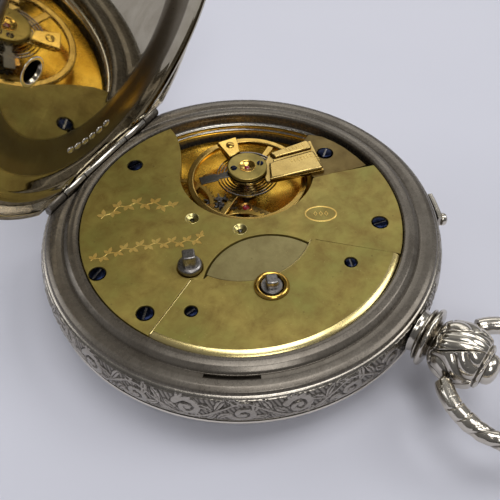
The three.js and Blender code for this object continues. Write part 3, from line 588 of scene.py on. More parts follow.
def silver(name, light, dark, rough, tarnish, scratch, relief=False, grain=0.12,
           ground=(62, 55, 47), deep=0.80, metallic=1.0):
    """tarnished silver; ground and deep colour the sunk parts of its relief"""
    sh = Shader(name)
    light, dark = linear(*light), linear(*dark)
    clouds = sh.noise(0.16, detail=5, roughness=0.6, distortion=0.6)
    fine = sh.noise(1.7, detail=6, roughness=0.65)
    spots = sh.noise(0.9, detail=3, roughness=0.5)
    stain = sh.times(sh.remap(clouds, (0.42, 0.68)), tarnish)
    stain = sh.plus(stain, sh.times(sh.remap(spots, (0.60, 0.74)), 0.25 * tarnish))
    color = sh.mix(stain, light, dark)
    # edges are paler, partly wear and partly a painted highlight read from pointiness; crevices
    # darker, partly real tarnish and partly painted shade from ambient occlusion
    edge = sh.remap(sh.node("NewGeometry").outputs["Pointiness"], (0.505, 0.56))
    worn_and_lit_edge = (*(min(c * 1.15, 1) for c in light[:3]), 1)
    color = sh.mix(sh.times(edge, 0.5), color, worn_and_lit_edge)
    occlusion_shade = sh.occlusion_shade(distance=0.002, source=(0.30, 0.85))
    color = sh.mix(sh.times(occlusion_shade, 0.55), color, linear(58, 50, 40))
    roughness = sh.remap(fine, (0.3, 0.75), rough)
    lines_a = sh.noise(9, detail=2, roughness=0.5, stretch=(1, 0.03, 1, 0.7))
    lines_b = sh.noise(7, detail=2, roughness=0.5, stretch=(0.03, 1, 1, 0.2))
    height = sh.plus(sh.plus(sh.remap(lines_a, (0.62, 0.68), (1, 0)),
                             sh.remap(lines_b, (0.63, 0.68), (1, 0))), sh.times(fine, grain))
    if relief:
        sunk = sh.remap(sh.relief(), (0.05, 0.55), (1.0, 0.0))
        color = sh.mix(sh.times(sunk, deep), color, linear(*ground))
        roughness = sh.plus(roughness, sh.times(sunk, 0.30))
    sh.set(Base_Color=color, Metallic=metallic, Roughness=roughness,
           Normal=sh.bump(height, strength=scratch, distance=0.00003))


def gilt(name, light, middle, dark, rough, bump=0.25, tarnish=1.0, metallic=1.0):
    """gilding that varies between three colours, with dark and pale specks"""
    sh = Shader(name)
    clouds = sh.noise(0.10, detail=3, roughness=0.5, distortion=0.5)
    patches = sh.noise(0.36, detail=6, roughness=0.66, distortion=0.3)
    grain = sh.noise(9, detail=3, roughness=0.6)
    dots = sh.cells(0.75)
    cloud_mix = sh.remap(clouds, (0.36, 0.66))
    patch_mix = sh.times(sh.remap(patches, (0.38, 0.70)), tarnish)
    color = sh.mix(cloud_mix, linear(*light), linear(*middle))
    color = sh.mix(patch_mix, color, linear(*dark))
    specks = sh.times(sh.remap(dots, (0.05, 0.13), (1.0, 0.0)),
                      sh.remap(sh.noise(0.4, detail=2), (0.5, 0.62)))
    color = sh.mix(sh.times(specks, 0.6 * tarnish), color, linear(92, 74, 34))
    specks = sh.times(sh.remap(sh.cells(2.1), (0.06, 0.13), (1.0, 0.0)),
                      sh.remap(sh.noise(0.9, detail=2), (0.52, 0.60)))
    color = sh.mix(sh.times(specks, 0.45 * tarnish), color, linear(232, 214, 150))
    # painted shade: ambient occlusion darkens corners toward brown
    occlusion_shade = sh.occlusion_shade(distance=0.0012, source=(0.35, 0.85))
    color = sh.mix(sh.times(occlusion_shade, 0.5), color, linear(70, 50, 16))
    uneven = sh.plus(sh.times(patches, 0.6), sh.times(grain, 0.4))
    roughness = sh.remap(uneven, (0.35, 0.65), rough)
    lines = sh.noise(8, detail=2, roughness=0.5, stretch=(1, 0.025, 1, 1.1))
    height = sh.plus(sh.times(grain, 0.9), sh.remap(lines, (0.64, 0.69), (1.0, 0.0)))
    sh.set(Base_Color=color, Metallic=metallic, Roughness=roughness,
           Normal=sh.bump(height, strength=bump, distance=0.00003))


def steel(name, first, second, rough):
    """first and second are scene colours"""
    sh = Shader(name)
    fine = sh.noise(3.0, detail=5, roughness=0.6)
    brushed = sh.noise(14, detail=2, roughness=0.5, stretch=(1, 0.05, 1, 0.5))
    # painted shade: ambient occlusion darkens corners to near black
    occlusion_shade = sh.occlusion_shade(distance=0.0008, source=(0.35, 0.9))
    color = sh.mix(sh.remap(fine, (0.35, 0.68)), first, second)
    color = sh.mix(sh.times(occlusion_shade, 0.5), color, (0.01, 0.01, 0.012, 1))
    sh.set(Base_Color=color, Metallic=1.0, Roughness=sh.remap(fine, (0.3, 0.7), rough),
           Normal=sh.bump(brushed, strength=0.12, distance=0.00002))


def enamel():
    sh = Shader("white_enamel")
    fine = sh.noise(0.5, detail=4, roughness=0.5)
    clouds = sh.noise(0.12, detail=3, roughness=0.5)
    color = sh.mix(sh.remap(fine, (0.35, 0.7)), linear(244, 241, 232), linear(236, 231, 218))
    color = sh.mix(sh.times(sh.remap(clouds, (0.5, 0.75)), 0.3), color, linear(228, 220, 202))
    sh.set(Base_Color=color, Roughness=sh.remap(fine, (0.3, 0.7), (0.10, 0.18)),
           Coat_Weight=0.6, Coat_Roughness=0.05,
           Normal=sh.bump(fine, strength=0.05, distance=0.00004))


def ink():
    sh = Shader("black_enamel")
    fine = sh.noise(3, detail=3)
    sh.set(Base_Color=sh.mix(fine, (0.006, 0.006, 0.007, 1), (0.02, 0.02, 0.022, 1)),
           Roughness=sh.remap(fine, (0.3, 0.7), (0.2, 0.35)))


def glass():
    sh = Shader("watch_glass")
    fine = sh.noise(4, detail=3, roughness=0.5)
    sh.set(Base_Color=(0.96, 0.98, 0.98, 1), Roughness=sh.remap(fine, (0.3, 0.8), (0.0, 0.03)),
           Transmission_Weight=1.0, IOR=1.45)


def ruby():
    sh = Shader("ruby")
    fine = sh.noise(2, detail=2)
    sh.set(Base_Color=sh.mix(fine, (0.30, 0.01, 0.02, 1), (0.5, 0.03, 0.05, 1)),
           Roughness=sh.remap(fine, (0.3, 0.7), (0.03, 0.08)),
           Transmission_Weight=0.35, IOR=1.76, Coat_Weight=0.5)


silver("silver_case", (118, 111, 101), (86, 78, 68), rough=(0.22, 0.35), tarnish=0.6,
       scratch=0.07, grain=0.05, metallic=0.62)
silver("silver_chased", (176, 169, 158), (118, 110, 98), rough=(0.18, 0.32), relief=True,
       tarnish=0.45, scratch=0.10, ground=(48, 43, 37), deep=0.88)
silver("silver_bright", (216, 209, 196), (146, 136, 120), rough=(0.08, 0.2), relief=True,
       tarnish=0.35, scratch=0.12)
silver("silver_steps", (226, 220, 208), (180, 170, 154), rough=(0.12, 0.22), tarnish=0.3,
       scratch=0.05)
silver("silver_mirror", (172, 164, 144), (122, 110, 88), rough=(0.015, 0.045), relief=True,
       tarnish=0.5, scratch=0.02, grain=0.02, ground=(70, 60, 46), deep=0.85)
gilt("gilt_plate", (172, 152, 76), (146, 138, 66), (130, 106, 46), rough=(0.40, 0.56),
     tarnish=0.9, metallic=0.40)
gilt("gilt_cover", (160, 148, 98), (148, 136, 88), (128, 114, 70), rough=(0.36, 0.5),
     tarnish=0.8, metallic=0.55)
gilt("gilt_bright", (222, 186, 100), (198, 160, 78), (150, 118, 50), rough=(0.22, 0.36),
     bump=0.12, tarnish=0.6)
gilt("gilt_cock", (220, 192, 124), (202, 172, 102), (160, 132, 76), rough=(0.18, 0.28),
     bump=0.008, tarnish=0.4)
gilt("gilt_inner", (244, 200, 84), (226, 174, 58), (184, 128, 36), rough=(0.2, 0.32),
     bump=0.04, tarnish=0.6)
gilt("polished_gold", (238, 200, 110), (226, 184, 92), (190, 146, 66), rough=(0.10, 0.22),
     bump=0.06, tarnish=0.35)
gilt("gilt_engraving", (250, 220, 130), (240, 202, 108), (206, 160, 74), rough=(0.30, 0.42),
     bump=0.03, tarnish=0.7, metallic=0.7)
# pale polished gilt: partly the real polished finish of the bevels, partly painted highlight
gilt("pale_gilt_bevel_and_highlight", (244, 228, 166), (236, 214, 144), (206, 180, 110), rough=(0.16, 0.26),
     bump=0.03, tarnish=0.4)
gilt("balance_gold", (214, 182, 104), (196, 160, 84), (152, 116, 56), rough=(0.16, 0.28),
     bump=0.03, tarnish=0.5)
gilt("bronze_gold", (206, 158, 84), (186, 134, 66), (140, 96, 44), rough=(0.18, 0.3),
     bump=0.08, tarnish=0.5)
steel("blued_steel", (0.007, 0.009, 0.022, 1), (0.010, 0.015, 0.040, 1), rough=(0.16, 0.3))
steel("blued_hand", (0.012, 0.02, 0.12, 1), (0.02, 0.035, 0.20, 1), rough=(0.14, 0.26))
steel("grey_steel", linear(150, 148, 146), linear(108, 106, 106), rough=(0.2, 0.36))
steel("dark_steel", linear(168, 164, 160), linear(112, 108, 105), rough=(0.24, 0.40))
steel("index_steel", linear(116, 112, 104), linear(84, 80, 74), rough=(0.25, 0.4))
# darker copy of the plate gilding: painted shade for the cock foot, which sits low in the
# movement
gilt("gilt_shaded", (132, 114, 72), (114, 96, 58), (86, 70, 42), rough=(0.3, 0.45),
     bump=0.12, tarnish=0.6)
gilt("gilt_sink", (226, 214, 150), (208, 194, 128), (176, 158, 98), rough=(0.22, 0.34),
     bump=0.08, tarnish=0.5)
enamel()
ink()
glass()
ruby()

# ------------------------------------------------------------------ case middle
FRONT_GAP = knuckle(FRONT_JOINT, 1.35, -7, 7, 48)    # room for the knuckles of the front lid

# [r, z] section of the case ring
RING = [
    (21.95, 3.45), (22.4, 3.45), (22.45, 4.3), (24.4, 4.3), (24.4, 5.6), (26.0, 5.6),
    (26.3, 6.2), (27.0, 6.2), (27.0, 9.4), (26.95, 10.40), (26.72, 10.74), (26.1, 10.95),
    (25.3, 10.99), (24.62, 10.86), (24.46, 10.74), (24.36, 10.90), (24.25, 11.05),
    (23.7, 11.42), (22.95, 11.53), (22.45, 11.40), (22.27, 11.15), (22.27, 10.55),
    (22.33, 10.5), (22.33, 9.62), (22.25, 9.4), (21.95, 9.4), (21.95, 8.9), (22.12, 8.84),
    (22.12, 8.5), (21.95, 8.44), (21.95, 8.0), (22.1, 7.9), (22.1, 5.2), (21.95, 5.1)]
case_body = add("case_body", turned(rounded(RING, 0.11, 3), 480), "silver_case",
                replaces="case_middle")
cut(case_body, knuckle(BACK_JOINT, 1.05, -13.2, 13.2, 48))
cut(case_body, FRONT_GAP)

# lifting notch in the rim
cut(case_body, turned([(24.60, 10.52), (25.24, 10.52), (25.24, 11.3), (24.60, 11.3)],
                      40, -100.6, -85.0))
# near-black silver for the floor of the lifting notch: mostly painted shade for the deep recess,
# partly tarnish
silver("notch_painted_shade", (46, 42, 38), (30, 27, 24), rough=(0.35, 0.55), tarnish=0.8, scratch=0.3)
add("lift_notch_floor", turned(rounded(
    [(24.58, 10.40), (25.26, 10.40), (25.26, 10.56), (24.92, 10.60), (24.58, 10.56)],
    0.03, 2), 40, -100.8, -84.8), "notch_painted_shade")

# chased band: [r, z] of its outer face, then of its back
BAND_LENGTH, BAND_HEIGHT = 174.6, 4.7
BAND_LOW, BAND_HIGH = 5.15, 10.12
BAND_DEPTH = 0.22
BAND_JOINT_HALF = 17    # degrees either side of the joint
BAND_FACE = [(26.93, 10.36), (27.14, 10.30), (27.36, 10.10), (27.52, 9.82), (27.68, 9.3),
             (27.83, 8.6), (27.88, 7.9), (27.88, 7.1), (27.80, 6.4), (27.64, 5.7),
             (27.45, 5.2), (27.36, 5.08)]
BAND_BACK = [(27.2, 5.06), (26.4, 5.06), (26.2, 5.3), (26.2, 6.3), (27.04, 6.42),
             (27.04, 9.0), (27.0, 10.0)]
band_profile = np.concatenate([dense(BAND_FACE, 0.085), np.array(BAND_BACK)])
band_strip = foliage(BAND_LENGTH, BAND_HEIGHT, cell=6.6, step=0.05, seed=11, bold=1.45)


def band_relief(profile, angles):
    """foliage outlined on a hatched ground, as [angle, profile point]"""
    v = (profile[:, 1] - BAND_LOW) / (BAND_HIGH - BAND_LOW)
    carved = (v > 0) & (v < 1) & (profile[:, 0] > 27.0)
    u, v = np.meshgrid(angles / (2 * np.pi), np.clip(v, 0, 1), indexing="ij")
    tone = sample(band_strip, u, v)
    hatch = 0.5 + 0.5 * np.cos(2 * np.pi * (u * BAND_LENGTH * 1.6 + v * BAND_HEIGHT * 0.9))
    vein = 0.5 + 0.5 * np.cos(2 * np.pi * (u * BAND_LENGTH * 0.8 - v * BAND_HEIGHT * 1.1))
    line = np.exp(-((tone - 0.5) / 0.30) ** 2)
    shade = np.where(tone < 0.5, 0.50 + 0.34 * hatch ** 2, 0.26 * vein ** 8)
    tone = np.clip(1 - 0.92 * line - shade, 0, 1)
    return np.where(carved[None, :], tone, 1.0)


def add_band(name, start, stop, segments):
    angles = np.radians(np.linspace(start, stop, segments))
    tone = band_relief(band_profile, angles)
    sunk = -(1 - tone) * BAND_DEPTH * radial_share(band_profile, closed=True)[None, :]
    return add(name, turned(band_profile, segments, start, stop, radial=sunk), "silver_chased",
               relief=tone.reshape(-1), sharp=60)


add_band("case_band", JOINT_DEG + BAND_JOINT_HALF, JOINT_DEG + 360 - BAND_JOINT_HALF, 1500)
cut(add_band("case_band_joint", JOINT_DEG - BAND_JOINT_HALF, JOINT_DEG + BAND_JOINT_HALF, 160),
    FRONT_GAP)

add("case_inner_steps", turned(rounded(
    [(22.3, 9.64), (22.18, 9.44), (21.93, 9.40), (21.90, 8.95), (22.10, 8.86), (22.10, 8.52),
     (21.90, 8.44), (21.90, 7.96), (22.3, 7.9)], 0.06, 3), 360), "silver_steps")
add("case_joint_knuckles", merge(
    *joint_leaf(BACK_JOINT, 0.85, ((-12.6, -9.4), (9.4, 12.6)),
                out=(BACK_JOINT[0] - 0.5, BACK_JOINT[0] + 0.5), z=(9.9, BACK_JOINT[1] - 0.35)),
    *joint_leaf(FRONT_JOINT, 0.75, ((-6.1, -2.25), (2.25, 6.1)),
                out=(FRONT_JOINT[0] - 0.45, FRONT_JOINT[0] + 0.45),
                z=(FRONT_JOINT[1] + 0.3, 6.8))), "silver_case")

# ------------------------------------------------------------------ covers
OUTER_RING, INNER_RING = (17.6, 8.6), (9.9, 7.0)    # inner radius and width of each leaf ring
outer_strip = foliage(2 * pi * 22.0, OUTER_RING[1], cell=8.6, step=0.07, seed=21)
inner_strip = foliage(2 * pi * 13.2, INNER_RING[1], cell=6.9, step=0.07, seed=22)


def cover_relief(radius, angle):
    """two foliage rings round a plain centre"""
    u = angle / (2 * np.pi)
    tone = np.ones(radius.shape)
    tone = np.where((radius > 17.6) & (radius < 26.2),
                    sample(outer_strip, u, (radius - OUTER_RING[0]) / OUTER_RING[1]), tone)
    tone = np.where((radius > 9.9) & (radius <= 16.9),
                    sample(inner_strip, u, (radius - INNER_RING[0]) / INNER_RING[1]), tone)
    rays = 0.5 + 0.5 * np.cos(angle * 96)
    tone = np.where((radius > 16.95) & (radius < 17.55), 0.35 + 0.65 * rays, tone)
    garter = 0.25 + 0.6 * (0.5 + 0.5 * np.cos(angle * 40 + 6 * (radius - 8.1)))
    tone = np.where((radius > 8.1) & (radius <= 9.8), garter, tone)
    for groove in (7.6, 8.05, 9.85, 16.92, 17.58, 26.25):
        tone = np.minimum(tone, 1 - 0.75 * np.exp(-((radius - groove) / 0.09) ** 2))
    return tone


def cover_shell(outer, inner, segments, step, carve=0.0, inner_tone=None):
    """shell between two [r, z] faces; carve is how far -z the outer engraving sinks

    Gives the part, the relief of its points and which points are on the inner face.
    """
    outer = dense(rounded(outer, 1.2, 6, closed=False), step)
    profile = np.concatenate([outer, inner])
    is_inner = np.arange(len(profile)) >= len(outer)
    angles = np.linspace(0, 2 * np.pi, segments, endpoint=False)
    radius, angle = np.meshgrid(profile[:, 0], angles)
    tone = np.ones((segments, len(profile)))
    if carve:
        tone[:, ~is_inner] = cover_relief(radius[:, ~is_inner], angle[:, ~is_inner])
    if inner_tone:
        tone[:, is_inner] = inner_tone(radius[:, is_inner])
    tone = tone[:, 1:-1]
    part = turned(profile, segments, axial=-(1 - tone) * carve)
    inner_points = np.concatenate([np.tile(is_inner[1:-1], segments), [False, True]])
    return part, np.concatenate([tone.reshape(-1), np.ones(2)]), inner_points


def inner_face(points):
    return dense(rounded(points, 0.5, 4, closed=False), 0.12)


def chord(verts, limit, inner_limit, is_inner):
    """pull points that reach too far toward the joint back onto a straight line"""
    reach = verts[:, 0] * JOINT_OUT[0] + verts[:, 1] * JOINT_OUT[1]
    limits = np.where(is_inner, inner_limit, limit)
    scale = np.where(reach > limits, limits / np.maximum(reach, 1e-6), 1.0)
    verts = verts.copy()
    verts[:, :2] *= scale[:, None]
    return verts


def add_back_cover():
    (verts, faces), tone, is_inner = cover_shell(
        [(0, 17.3), (12, 17.1), (20, 16.5), (24.5, 15.5), (27.3, 13.7), (28.0, 11.8),
         (27.75, 10.98)],
        inner_face([(27.55, 10.92), (27.05, 10.95), (27.3, 11.35), (27.35, 11.9), (26.7, 13.4),
                    (24.2, 15.0), (20, 15.97), (12, 16.58), (0, 16.8)]),
        segments=900, step=0.16, carve=0.11)
    verts = chord(verts, 23.7, 23.3, is_inner)
    verts, faces = merge(
        (verts, faces),
        *joint_leaf(BACK_JOINT, 0.85, ((-9.25, -5.0), (4.6, 9.25)), out=(23.25, BACK_JOINT[0]),
                    z=(11.85, 12.6), edge=0.12),
        joint_bar((23.3, 23.72), (-12.9, 12.9), (12.28, 13.6), 0.1))
    tone = np.concatenate([tone, np.ones(len(verts) - len(tone))])
    add("back_cover_shell", (swung_open(verts, BACK_OPEN), faces), "silver_bright",
        body="back_cover", replaces="back_cover", relief=tone, sharp=40)


add_back_cover()

# [r, z] stations of the cuvette: its outer face, the wall of its inner face beyond the dish,
# the inner face in outline, and the rim of the case that its foot rides on
CUVETTE_OUTER = [(0, 13.78), (10, 13.62), (16, 13.4), (18.2, 13.05), (19.8, 12.6),
                 (21.6, 12.25), (23.4, 12.02), (24.9, 11.7), (25.3, 11.08)]
CUVETTE_WALL = [(16.8, 12.993), (17.3, 12.93), (17.9, 12.74), (18.7, 12.42), (19.8, 12.08),
                (21.2, 11.82), (22.6, 11.70), (24.1, 11.42), (24.62, 11.12)]
CUVETTE_INNER = [(0, 13.28), (10, 13.2), (16.6, 13.0), (17.9, 12.74), (18.7, 12.42),
                 (19.8, 12.08), (21.2, 11.82), (22.6, 11.7)]
CUVETTE_SEAT = [(22.2, 11.2), (22.45, 11.44), (22.95, 11.55), (23.7, 11.46), (24.25, 11.12),
                (24.5, 10.86), (24.62, 10.88), (25.3, 11.0), (26.2, 10.98)]


def at_radius(radius, stations):
    return np.interp(radius, *zip(*stations))


def cuvette_inside():
    """one smooth dished curve, so that the face mirrors the plates cleanly"""
    pitch, half, blur = 0.02, 80, 0.42
    r = np.arange(0, 24.62, pitch)
    z = np.where(r <= 16.8, 13.28 - 0.001016 * r ** 2, at_radius(r, CUVETTE_WALL))
    kernel = np.exp(-0.5 * (np.arange(-half, half + 1) * pitch / blur) ** 2)
    mirrored = np.concatenate([z[half:0:-1], z, 2 * z[-1] - z[-2:-half - 2:-1]])
    smooth = np.convolve(mirrored, kernel / kernel.sum(), "valid")
    return ([(25.12, 11.06), (24.72, 11.04)]
            + [(float(a), float(np.interp(a, r, smooth))) for a in np.arange(24.5, 0.1, -0.2)]
            + [(0.0, float(smooth[0]))])


def add_cuvette():
    (verts, faces), tone, is_inner = cover_shell(
        CUVETTE_OUTER, cuvette_inside(), segments=480, step=0.6,
        inner_tone=lambda r: 1 - 0.88 * np.clip((r - 16.1) / 0.5, 0, 1)
        * np.clip((21.7 - r) / 0.5, 0, 1))
    verts = chord(verts, 23.0, 22.7, is_inner)
    # the foot rides on the rim, also where it is cut back beside the joint
    radius = np.hypot(verts[:, 0], verts[:, 1])
    seat = at_radius(radius, CUVETTE_SEAT) + 0.05
    verts[:, 2] = np.where((radius > 22.2) & (radius < 26.2),
                           np.maximum(verts[:, 2], seat), verts[:, 2])
    ob = add("cuvette_shell", (verts, faces), "silver_mirror", body="cuvette",
             replaces="cuvette", relief=tone, sharp=40)
    for hole in (SETTING, WIND):
        cut(ob, placed(turned([(0, 10), (1.65, 10), (1.65, 16), (0, 16)], 64), *hole))
    # swung open once the key holes are cut
    flat = np.zeros(len(ob.data.vertices) * 3)
    ob.data.vertices.foreach_get("co", flat)
    x, y, z = (flat.reshape(-1, 3) * 1000).T
    layout = np.stack([TURN_COS * x + TURN_SIN * y, -TURN_SIN * x + TURN_COS * y, z], 1)
    opened = layout_to_part(swung_open(layout, CUVETTE_OPEN))
    ob.data.vertices.foreach_set("co", opened.reshape(-1))
    ob.data.update()


def add_on_cuvette(name, parts):
    verts, faces = merge(*parts)
    add(name, (swung_open(verts, CUVETTE_OPEN), faces), "silver_bright", body="cuvette",
        relief=1)


def key_hole_bead(hole):
    low = float(at_radius(hypot(*hole), CUVETTE_INNER))
    high = float(at_radius(hypot(*hole), CUVETTE_OUTER))
    return placed(turned(rounded(
        [(1.5, low - 0.12), (1.92, low - 0.1), (1.98, low + 0.15), (1.98, high - 0.1),
         (1.9, high + 0.1), (1.5, high + 0.12)], 0.08, 4), 72), *hole)


def punch_mark(angle, radius=19.15):
    """blank oval lying on the slope of the inner wall"""
    verts, faces = turned(rounded(
        [(0, -0.16), (0.32, -0.13), (0.48, -0.02), (0.48, 0.1), (0, 0.1)], 0.05, 3, False), 32)
    x, y, z = (verts * np.array([1.0, 1.45, 1.0])).T
    drop = float(at_radius(18.75, CUVETTE_INNER)) - float(at_radius(19.55, CUVETTE_INNER))
    slope = atan2(drop, 0.8)
    tilted = np.stack([x * cos(slope) + z * sin(slope), y, -x * sin(slope) + z * cos(slope)
                       + float(at_radius(radius, CUVETTE_INNER))], 1)
    return placed(placed((tilted, faces), radius), turn=angle)


add_cuvette()
add_on_cuvette("cuvette_beads", [
    *(key_hole_bead(hole) for hole in (SETTING, WIND)),
    *joint_leaf(BACK_JOINT, 0.85, [(-4.85, 4.45)], out=(22.4, BACK_JOINT[0]),
                z=(11.80, 12.14))])
add_on_cuvette("cuvette_marks", [punch_mark(166.0 - 4.7 * k) for k in range(6)])

lid_shell, lid_tone, _ = cover_shell(
    [(0, 0), (17, 0), (21, 0.45), (24.5, 1.35), (26.8, 2.8), (27.55, 4.7)],
    inner_face([(27.45, 4.92), (26.95, 4.92), (26.85, 4.6), (26.1, 3.2), (24.2, 1.95),
                (20.9, 1.05), (17, 0.6), (0, 0.6)]),
    segments=720, step=0.2, carve=-0.09)
lid = add("front_lid_shell", lid_shell, "silver_bright", body="front_lid",
          replaces="front_lid", relief=lid_tone, sharp=40)
cut(lid, knuckle(FRONT_JOINT, 1.32, -7.2, 7.2, 48))
add("front_lid_knuckle", merge(*joint_leaf(FRONT_JOINT, 0.75, [(-2.1, 2.1)], out=(26.35, 27.2),
                                           z=(3.4, FRONT_JOINT[1]))),
    "silver_bright", body="front_lid", relief=1)
bezel = add("bezel_ring", turned(rounded(
    [(21.7, 2.05), (22.6, 2.08), (23.3, 2.2), (23.6, 2.12), (24.6, 2.62), (25.2, 3.1),
     (25.5, 3.5), (25.55, 4.22), (22.66, 4.22), (22.63, 2.55), (21.7, 2.33)], 0.12, 4), 360),
    "silver_case", replaces="bezel")
cut(bezel, FRONT_GAP)
GLASS_FRONT = [(0, 0.95), (12, 1.05), (19.4, 1.4), (21.6, 2.3), (22.4, 2.62)]
GLASS_BACK = [(22.4, 3.1), (21.2, 2.75), (19.2, 1.9), (12, 1.5), (0, 1.4)]
add("watch_glass", turned(np.concatenate(
    [rounded(face, 1.2, 6, False) for face in (GLASS_FRONT, GLASS_BACK)]), 256),
    "watch_glass", "crystal_glass", replaces="crystal")

# ------------------------------------------------------------------ pendant, button, bow
AXIS_Z = 8.0    # height of the pendant axis


def along_pendant(profile, segments, radial=0):
    """a [radius, distance] profile turned about the pendant axis"""
    verts, faces = turned(profile, segments, radial=radial)
    x, y, z = verts.T
    return np.stack([z, y, -x + AXIS_Z], 1), faces


NECK = [(0.96, 27.9), (2.95, 27.7), (2.75, 28.1), (2.72, 28.5), (2.85, 28.62), (3.3, 28.64),
        (3.5, 28.8), (3.5, 28.92), (3.3, 29.08), (3.08, 29.14), (3.3, 29.2), (3.85, 29.36),
        (3.95, 29.62), (3.85, 29.86), (3.4, 30.04), (2.6, 30.1), (2.25, 30.3), (2.3, 30.5),
        (1.6, 30.6), (0.96, 30.6)]
add("pendant_neck", along_pendant(rounded(NECK, 0.1, 4), 240), "silver_bright",
    to_part=pendant_to_part, replaces="pendant", relief=1)

# fluted ball: [radius, distance] of its skin, then of its bore
BALL_SKIN = [(2.2, 30.28), (3.0, 30.75), (3.62, 31.6), (3.98, 32.7), (4.1, 33.8), (4.0, 34.9),
             (3.6, 36.0), (3.05, 36.75), (2.62, 37.1)]
BALL_BORE = [(2.5, 37.15), (2.42, 37.0), (2.38, 36.05), (0.97, 36.0), (0.97, 30.9),
             (1.6, 30.4)]
BALL_SEGMENTS, BALL_DEPTH = 560, 0.42


def add_ball():
    skin = dense(spline(BALL_SKIN, 8), 0.07)
    profile = np.concatenate([skin, np.array(BALL_BORE)])
    angles = np.linspace(0, 2 * np.pi, BALL_SEGMENTS, endpoint=False)
    angle, distance = np.meshgrid(angles, profile[:, 1], indexing="ij")
    v = np.clip((distance - 30.4) / 6.7, 0, 1)
    phase = angle * 5 + 2.3 * np.sin(2 * np.pi * v * 0.78 + 0.4)
    flutes = np.abs(np.cos(phase)) ** 0.75
    # three broad leaves with veins lie over the flutes
    leaves = 0.5 + 0.5 * np.cos(angle * 3 + 3.1 * v + 1.1)
    open_part = np.clip((0.70 - leaves) / 0.16, 0, 1)
    veins = 0.5 + 0.5 * np.cos(angle * 24 + 13 * v)
    crease = (np.exp(-((leaves - 0.72) / 0.035) ** 2)
              + np.exp(-((v - 0.10 - 0.03 * np.cos(angle * 8)) / 0.018) ** 2)
              + np.exp(-((v - 0.93) / 0.018) ** 2))
    tone = np.clip(1 - open_part * (1 - flutes) * 0.95 - (1 - open_part) * 0.22 * veins ** 3
                   - 0.85 * np.clip(crease, 0, 1), 0, 1)
    fade = np.clip(np.minimum(v / 0.06, (1 - v) / 0.05), 0, 1)
    on_skin = (np.arange(len(profile)) < len(skin))[None, :]
    tone = np.where(on_skin, 1 - (1 - tone) * fade, 1)
    sunk = -(1 - tone) * BALL_DEPTH * radial_share(profile)[None, :]
    add("pendant_ball", along_pendant(profile, BALL_SEGMENTS, radial=sunk), "silver_bright",
        to_part=pendant_to_part, sharp=70, relief=np.clip(tone * 1.3, 0, 1).reshape(-1))


add_ball()
add("push_button_cap", along_pendant(
    [(0, 26.0), (0.72, 26.0), (0.8, 26.1), (0.8, 36.68), (1.5, 36.7), (1.85, 36.8),
     (1.98, 37.1), (1.96, 37.6), (1.8, 38.02), (1.45, 38.34), (0.95, 38.52), (0.5, 38.59),
     (0, 38.6)], 96),
    "silver_bright", body="push_button", to_part=pendant_to_part, replaces="push_button",
    relief=1)

# bow: x from the pivots and y of half its centre line
BOW_PIVOT, BOW_RADIUS, BOW_SEGMENTS = 33.8, 1.13, 56
BOW_HALF = [(0, 4.85), (0.35, 5.25), (1.3, 6.15), (2.7, 7.05), (4.6, 7.75), (6.8, 8.05),
            (9.2, 7.6), (11.6, 6.3), (13.3, 4.2), (14.2, 1.8), (14.35, 0)]
bow_path = spline([(BOW_PIVOT + x, y, AXIS_Z)
                   for x, y in BOW_HALF + [(x, -y) for x, y in BOW_HALF[:-1][::-1]]], 16)
BOW_LENGTH = float(np.sum(np.linalg.norm(np.diff(bow_path, axis=0), axis=1)))


def rope(run, angle):
    """radius change: plain notched ends that swell into a twisted rope"""
    end = np.minimum(run, BOW_LENGTH - run)
    twisted = 1 / (1 + np.exp(-(end - 6.2) / 0.35))
    twist = angle + np.where(run < BOW_LENGTH / 2, 1, -1) * end * 2 * np.pi / 5.2
    bead = 0.5 + 0.5 * np.cos(end * 2 * np.pi / 1.3 + 2 * angle)
    change = -0.24 * twisted * (1 - np.abs(np.cos(twist)) ** 0.6) - 0.05 * twisted * bead
    leaf = (1 - twisted) * np.clip((end - 1.0) / 1.0, 0, 1)
    notch = np.exp(-((((end - 2.6 - 0.7 * np.abs(np.sin(angle))) % 1.5) - 0.5) / 0.11) ** 2)
    change = change - leaf * np.where(end > 2.4, 0.11, 0.0) * notch
    swell = 0.10 * np.exp(-((end - 5.9) / 0.6) ** 2)
    return change + swell - 0.10 * np.clip(1 - end / 0.8, 0, 1)


def bow_pin(side):
    verts, faces = turned([(0, 0), (0.5, 0), (0.55, 0.06), (0.55, 0.92), (0.5, 0.97),
                           (0, 0.97)], 24)
    x, y, z = verts.T
    return np.stack([x + BOW_PIVOT, side * (4.17 + z), y + AXIS_Z], 1), faces


